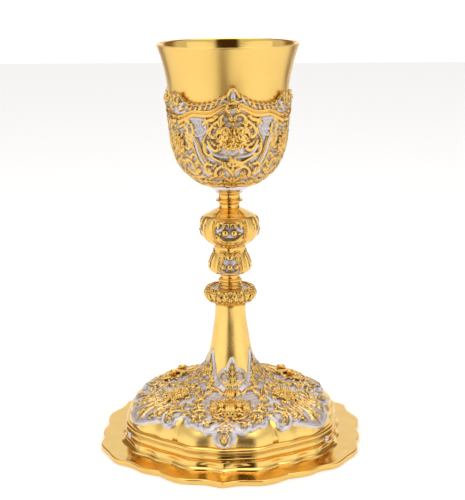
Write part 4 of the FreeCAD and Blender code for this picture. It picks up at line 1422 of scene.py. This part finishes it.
def make_calyx_cartouches(section):
    """Two small cherubs leaning on a shell, with drapery and clouds round them."""
    cast = Casting()
    cast.ball((0, -0.5, 0.2), (8.5, 7.5, 1.6), twin=False)          # backing
    cast.ball((0, 1.0, 1.2), (2.6, 5.2, 1.3), twin=False)
    cast.head((4.7, 3.9, 2.6), 2.75, turn=-0.2)
    cast.ball((5.2, 0.0, 1.8), (2.5, 2.9, 1.9), -20)                # chest
    cast.ball((6.2, -2.8, 1.6), (2.8, 2.2, 1.8), -30)
    cast.limb([(3.4, 2.2, 2.6), (1.8, 0.8, 3.2), (0.9, 1.9, 3.2)], 0.75, 0.5)
    cast.limb([(5.6, -2.4, 2.2), (3.6, -4.4, 3.0), (1.8, -3.4, 2.6), (1.0, -5.2, 1.8)], 1.0, 0.55)
    cast.limb([(6.2, 2.0, 2.2), (8.2, 0.4, 2.2), (8.8, -2.0, 1.6)], 0.75, 0.5)
    cast.wing((6.0, 3.0, 1.0), 5.4, 55)
    for k in range(5):                                              # the shell between them
        turn = math.radians(-50 + 25 * k)
        cast.limb([(0, -2.0, 1.4), (1.5 * math.sin(turn), -2 + 1.8 * math.cos(turn), 2.3),
                   (2.9 * math.sin(turn), -2 + 3.4 * math.cos(turn), 1.8)], 0.4, 0.6, twin=False)
    for x, y, size in ((0, -7.4, 1.5), (2.6, -7.0, 1.5), (5.2, -6.0, 1.5), (7.6, -4.6, 1.3), (9.4, -2.6, 1.1),
                       (1.4, -5.8, 1.2), (4.2, -4.6, 1.1), (3.8, -8.2, 1.0)):
        cast.ball((x, y, 1.2), size, twin=x > 0)
    cast.limb([(0.8, 8.8, 1.0), (3.4, 9.6, 1.4), (6.4, 8.6, 1.2), (8.6, 6.4, 1.0)], 0.45, 0.75)
    cast.curl((8.0, 7.2, 1.0), 1.5, 1.1, 0, 0.5)
    cast.leaf((8.6, -3.6, 0.8), (11.2, 1.4, 0.6), 2.2, 0.6)
    cast.leaf((0, 5.6, 0.8), (0, 10.4, 1.0), 2.0, 0.7, twin=False)
    cast.solder("calyx_cartouche", section, CALYX_CARTOUCHE_UP, thirds(CALYX_TURN), voxel=0.2)


def make_bouquets(name, section, v, azimuths, size):
    """A bunch of open flowers on leaves, with hanging buds."""
    cast = Casting()
    for x, y, radius, petals in ((0, 0.6, 3.5, 6), (4.6, 3.6, 2.7, 5), (4.6, -2.4, 2.7, 6),
                                 (0.0, 6.0, 2.4, 5), (0.0, -5.2, 2.3, 5)):
        out = 2.6 * size - 0.03 * (x * x + y * y)
        cast.flower((x * size, y * size, out), radius * size, petals, twin=x > 0)
    cast.ball((0, 0.3 * size, 0.3), (6.0 * size, 7.0 * size, 2.2 * size), twin=False)
    for x, y, tip_x, tip_y, width in ((1.5, 6.0, 4.0, 9.0, 3.2), (4.0, 4.5, 7.8, 6.4, 3.2),
                                      (4.6, 0.5, 8.6, 0.6, 3.2), (4.2, -3.0, 7.2, -6.0, 3.2),
                                      (1.4, -5.6, 3.0, -8.8, 2.8)):
        cast.leaf((x * size, y * size, 0.5), (tip_x * size, tip_y * size, 0.7), width * size, 0.7, arch=1.1)
    cast.leaf((0, 7.0 * size, 0.6), (0, 11.0 * size, 0.8), 2.4 * size, 0.7, twin=False)
    cast.limb([(0, -6 * size, 0.8), (0.3, -8.5 * size, 1.2), (0, -10.5 * size, 0.8)], 0.5, 0.8 * size,
              twin=False)
    for x, y in ((2.2, -7.6), (5.8, 3.0), (6.2, -1.6), (2.6, 7.6)):
        cast.ball((x * size, y * size, 1.3), 0.85 * size)
    cast.solder(name, section, v, azimuths, voxel=0.2)


def make_studs():
    """The silver buttons on the gallery: eight petals round a bead, facing straight out."""
    radius = 0.822 * BASE_R
    level = 11.8
    upright = Section([(radius, level - 5), (radius, level), (radius, level + 5)], 0.5)
    cast = Casting()
    for k in range(8):
        turn = math.radians(45 * k)
        cast.ball((1.6 * math.sin(turn), 1.6 * math.cos(turn), 0.5), (0.68, 0.95, 0.65), 45 * k, twin=False)
    cast.ball((0, 0, 0.7), (1.15, 1.15, 1.0), twin=False)
    cast.ball((0, 0, 0.1), (2.4, 2.4, 0.5), twin=False)
    cast.solder("gallery_stud", upright, 5, thirds(SECTOR), voxel=0.11, rise=0.0, metal=SILVER_METAL)


# ------------------------ the scene

def soft_light(name, place, size, power):
    """A rectangular softbox at a place in metres, turned to the chalice's middle and unseen itself."""
    light = bpy.data.lights.new(name, "AREA")
    light.shape = "RECTANGLE"
    light.size, light.size_y = size
    light.energy = power
    thing = bpy.data.objects.new(name, light)
    thing.location = place
    middle = Vector((0, 0, 0.13))
    thing.rotation_euler = (middle - Vector(place)).to_track_quat("-Z", "Y").to_euler()
    thing.visible_camera = False
    bpy.context.scene.collection.objects.link(thing)


def make_world():
    """A pale studio, brighter behind and overhead, but for a dark strip in front of the chalice and a dim
    one on each side of its back, which draw the dark lines in its metal."""
    world = bpy.data.worlds.new("studio")
    world.use_nodes = True
    tree = world.node_tree
    place = tree.nodes.new("ShaderNodeTexCoord")
    split = tree.nodes.new("ShaderNodeSeparateXYZ")
    tree.links.new(place.outputs["Generated"], split.inputs["Vector"])

    def maths(kind, *values):
        node = tree.nodes.new("ShaderNodeMath")
        node.operation = kind
        for socket, value in zip(node.inputs, values):
            if isinstance(value, float):
                socket.default_value = value
            else:
                tree.links.new(value, socket)
        return node.outputs[0]

    azimuth = maths("ARCTAN2", split.outputs["X"], maths("MULTIPLY", split.outputs["Y"], -1.0))
    strips = tree.nodes.new("ShaderNodeValToRGB")
    tree.links.new(maths("MULTIPLY_ADD", azimuth, 0.5 / math.pi, 0.5), strips.inputs["Fac"])
    back, pale = (1.15, 1.15, 1.15, 1), (0.88, 0.88, 0.88, 1)
    dim, dark = (0.34, 0.22, 0.11, 1), (0.07, 0.035, 0.015, 1)
    stops = ((-152, back), (-138, dim), (-120, dim), (-106, pale), (-21, pale), (-13, dark), (23, dark),
             (32, pale), (106, pale), (120, dim), (138, dim), (152, back))
    strips.color_ramp.elements[0].color = back
    strips.color_ramp.elements[1].color = back
    for angle, colour in stops:
        strips.color_ramp.elements.new(angle / 360 + 0.5).color = colour
    overhead = remap(tree, split.outputs["Z"], limits=(0.80, 0.96))
    sky = blend_colours(tree, overhead, strips.outputs["Color"], (1.3, 1.3, 1.3))
    above_horizon = remap(tree, split.outputs["Z"], limits=(0.10, 0.25))
    tree.links.new(sky, tree.nodes["Background"].inputs["Color"])
    tree.links.new(remap(tree, above_horizon, (1.0, 0.82)), tree.nodes["Background"].inputs["Strength"])
    bpy.context.scene.world = world


# Dark cards on the floor: (name, from and to in degrees, from and to in metres from the axis)
CARDS = [("near_card", 3, 28, 0.62, 1.0), ("front_card", -13, 3, 0.16, 2.8),
         ("left_card", -146, -128, 0.5, 1.6), ("right_card", 130, 148, 0.5, 1.6)]


def matt(name, colour, glow=0.0):
    """A matt paint, with a little light of its own where it glows."""
    made = bpy.data.materials.new(name)
    made.use_nodes = True
    surface = made.node_tree.nodes["Principled BSDF"]
    surface.inputs["Base Color"].default_value = (*colour, 1)
    surface.inputs["Roughness"].default_value = 0.9
    surface.inputs["Emission Color"].default_value = (1, 1, 1, 1)
    surface.inputs["Emission Strength"].default_value = glow
    return made


def stage_sheet(name, corners, material):
    """A flat sheet of the studio, from its corners in metres."""
    mesh = bpy.data.meshes.new(name)
    mesh.from_pydata(corners, [], [(0, 1, 2, 3)])
    mesh.materials.append(material)
    sheet = new_object(name, mesh)
    return sheet


def make_studio():
    """A white floor, a softbox on each side in front and one above, and dark cards on the floor.

    The cards are only seen in the metal: the camera doesn't see them, and they cast no shadow.
    """
    reach = 3.0
    square = [(-reach, -reach, 0), (reach, -reach, 0), (reach, reach, 0), (-reach, reach, 0)]
    stage_sheet("floor", square, matt("pale floor", (0.92, 0.92, 0.92), 0.25))

    black = matt("dark card", (0.10, 0.05, 0.02))
    lift = 0.002
    for name, left, right, near, far in CARDS:
        corners = [(size * math.sin(math.radians(azimuth)), -size * math.cos(math.radians(azimuth)), lift)
                   for azimuth, size in ((left, near), (right, near), (right, far), (left, far))]
        card = stage_sheet(name, corners, black)
        card.visible_camera = False
        card.visible_shadow = False
        card.visible_diffuse = False

    soft_light("left softbox", (-0.92, -0.76, 0.40), (1.5, 1.2), 2.2)
    soft_light("right softbox", (0.92, -0.76, 0.40), (1.5, 1.2), 2.2)
    soft_light("top softbox", (0, 0.1, 1.4), (1.2, 1.2), 4.4)


def make_camera():
    """A long lens, a little above the chalice's middle and looking slightly down."""
    distance, height = 0.7907, 0.3307                               # metres from the axis and the floor
    azimuth, pitch, roll = math.radians(4), 0.244, -0.0097
    camera = bpy.data.objects.new("camera", bpy.data.cameras.new("camera"))
    camera.location = (distance * math.sin(azimuth), -distance * math.cos(azimuth), height)
    look = Matrix.Rotation(azimuth, 4, "Z") @ Matrix.Rotation(math.radians(90) - pitch, 4, "X")
    camera.rotation_euler = (look @ Matrix.Rotation(roll, 4, "Z")).to_euler()
    camera.data.lens = 85.13
    camera.data.sensor_width = 36
    camera.data.shift_x = 0.00528
    bpy.context.scene.collection.objects.link(camera)
    bpy.context.scene.camera = camera


HIDDEN_FINISHES = {"cup_boss": POLISHED, "throat_plate": POLISHED, "tie_rod": STEEL, "nut_washer": STEEL,
                   "retaining_nut": STEEL, "cup_washer": NYLON}


def finish_cad_nodes():
    """Materials for the CAD pieces that stay as they are."""
    for node, material in HIDDEN_FINISHES.items():
        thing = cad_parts[node]
        if not thing.material_slots:
            thing.data.materials.append(material)
        for holder in thing.material_slots:
            holder.material = material


make_cup()
make_turned()
make_base()
foot_section = make_foot()
calyx_section = make_calyx()
make_moulding(calyx_section)
make_knop()
make_lower_knop()
make_collar()
make_dome_cartouches(foot_section)
make_calyx_cartouches(calyx_section)
make_bouquets("dome_bouquet", foot_section, DOME_MIDDLE, thirds(SECTOR + DOME_TURN), 1.0)
make_bouquets("calyx_bouquet", calyx_section, CALYX_BOUQUET_UP, thirds(SECTOR + CALYX_TURN), 0.78)
make_studs()
finish_cad_nodes()
make_world()
make_studio()
make_camera()
bpy.context.scene.view_settings.view_transform = "Standard"
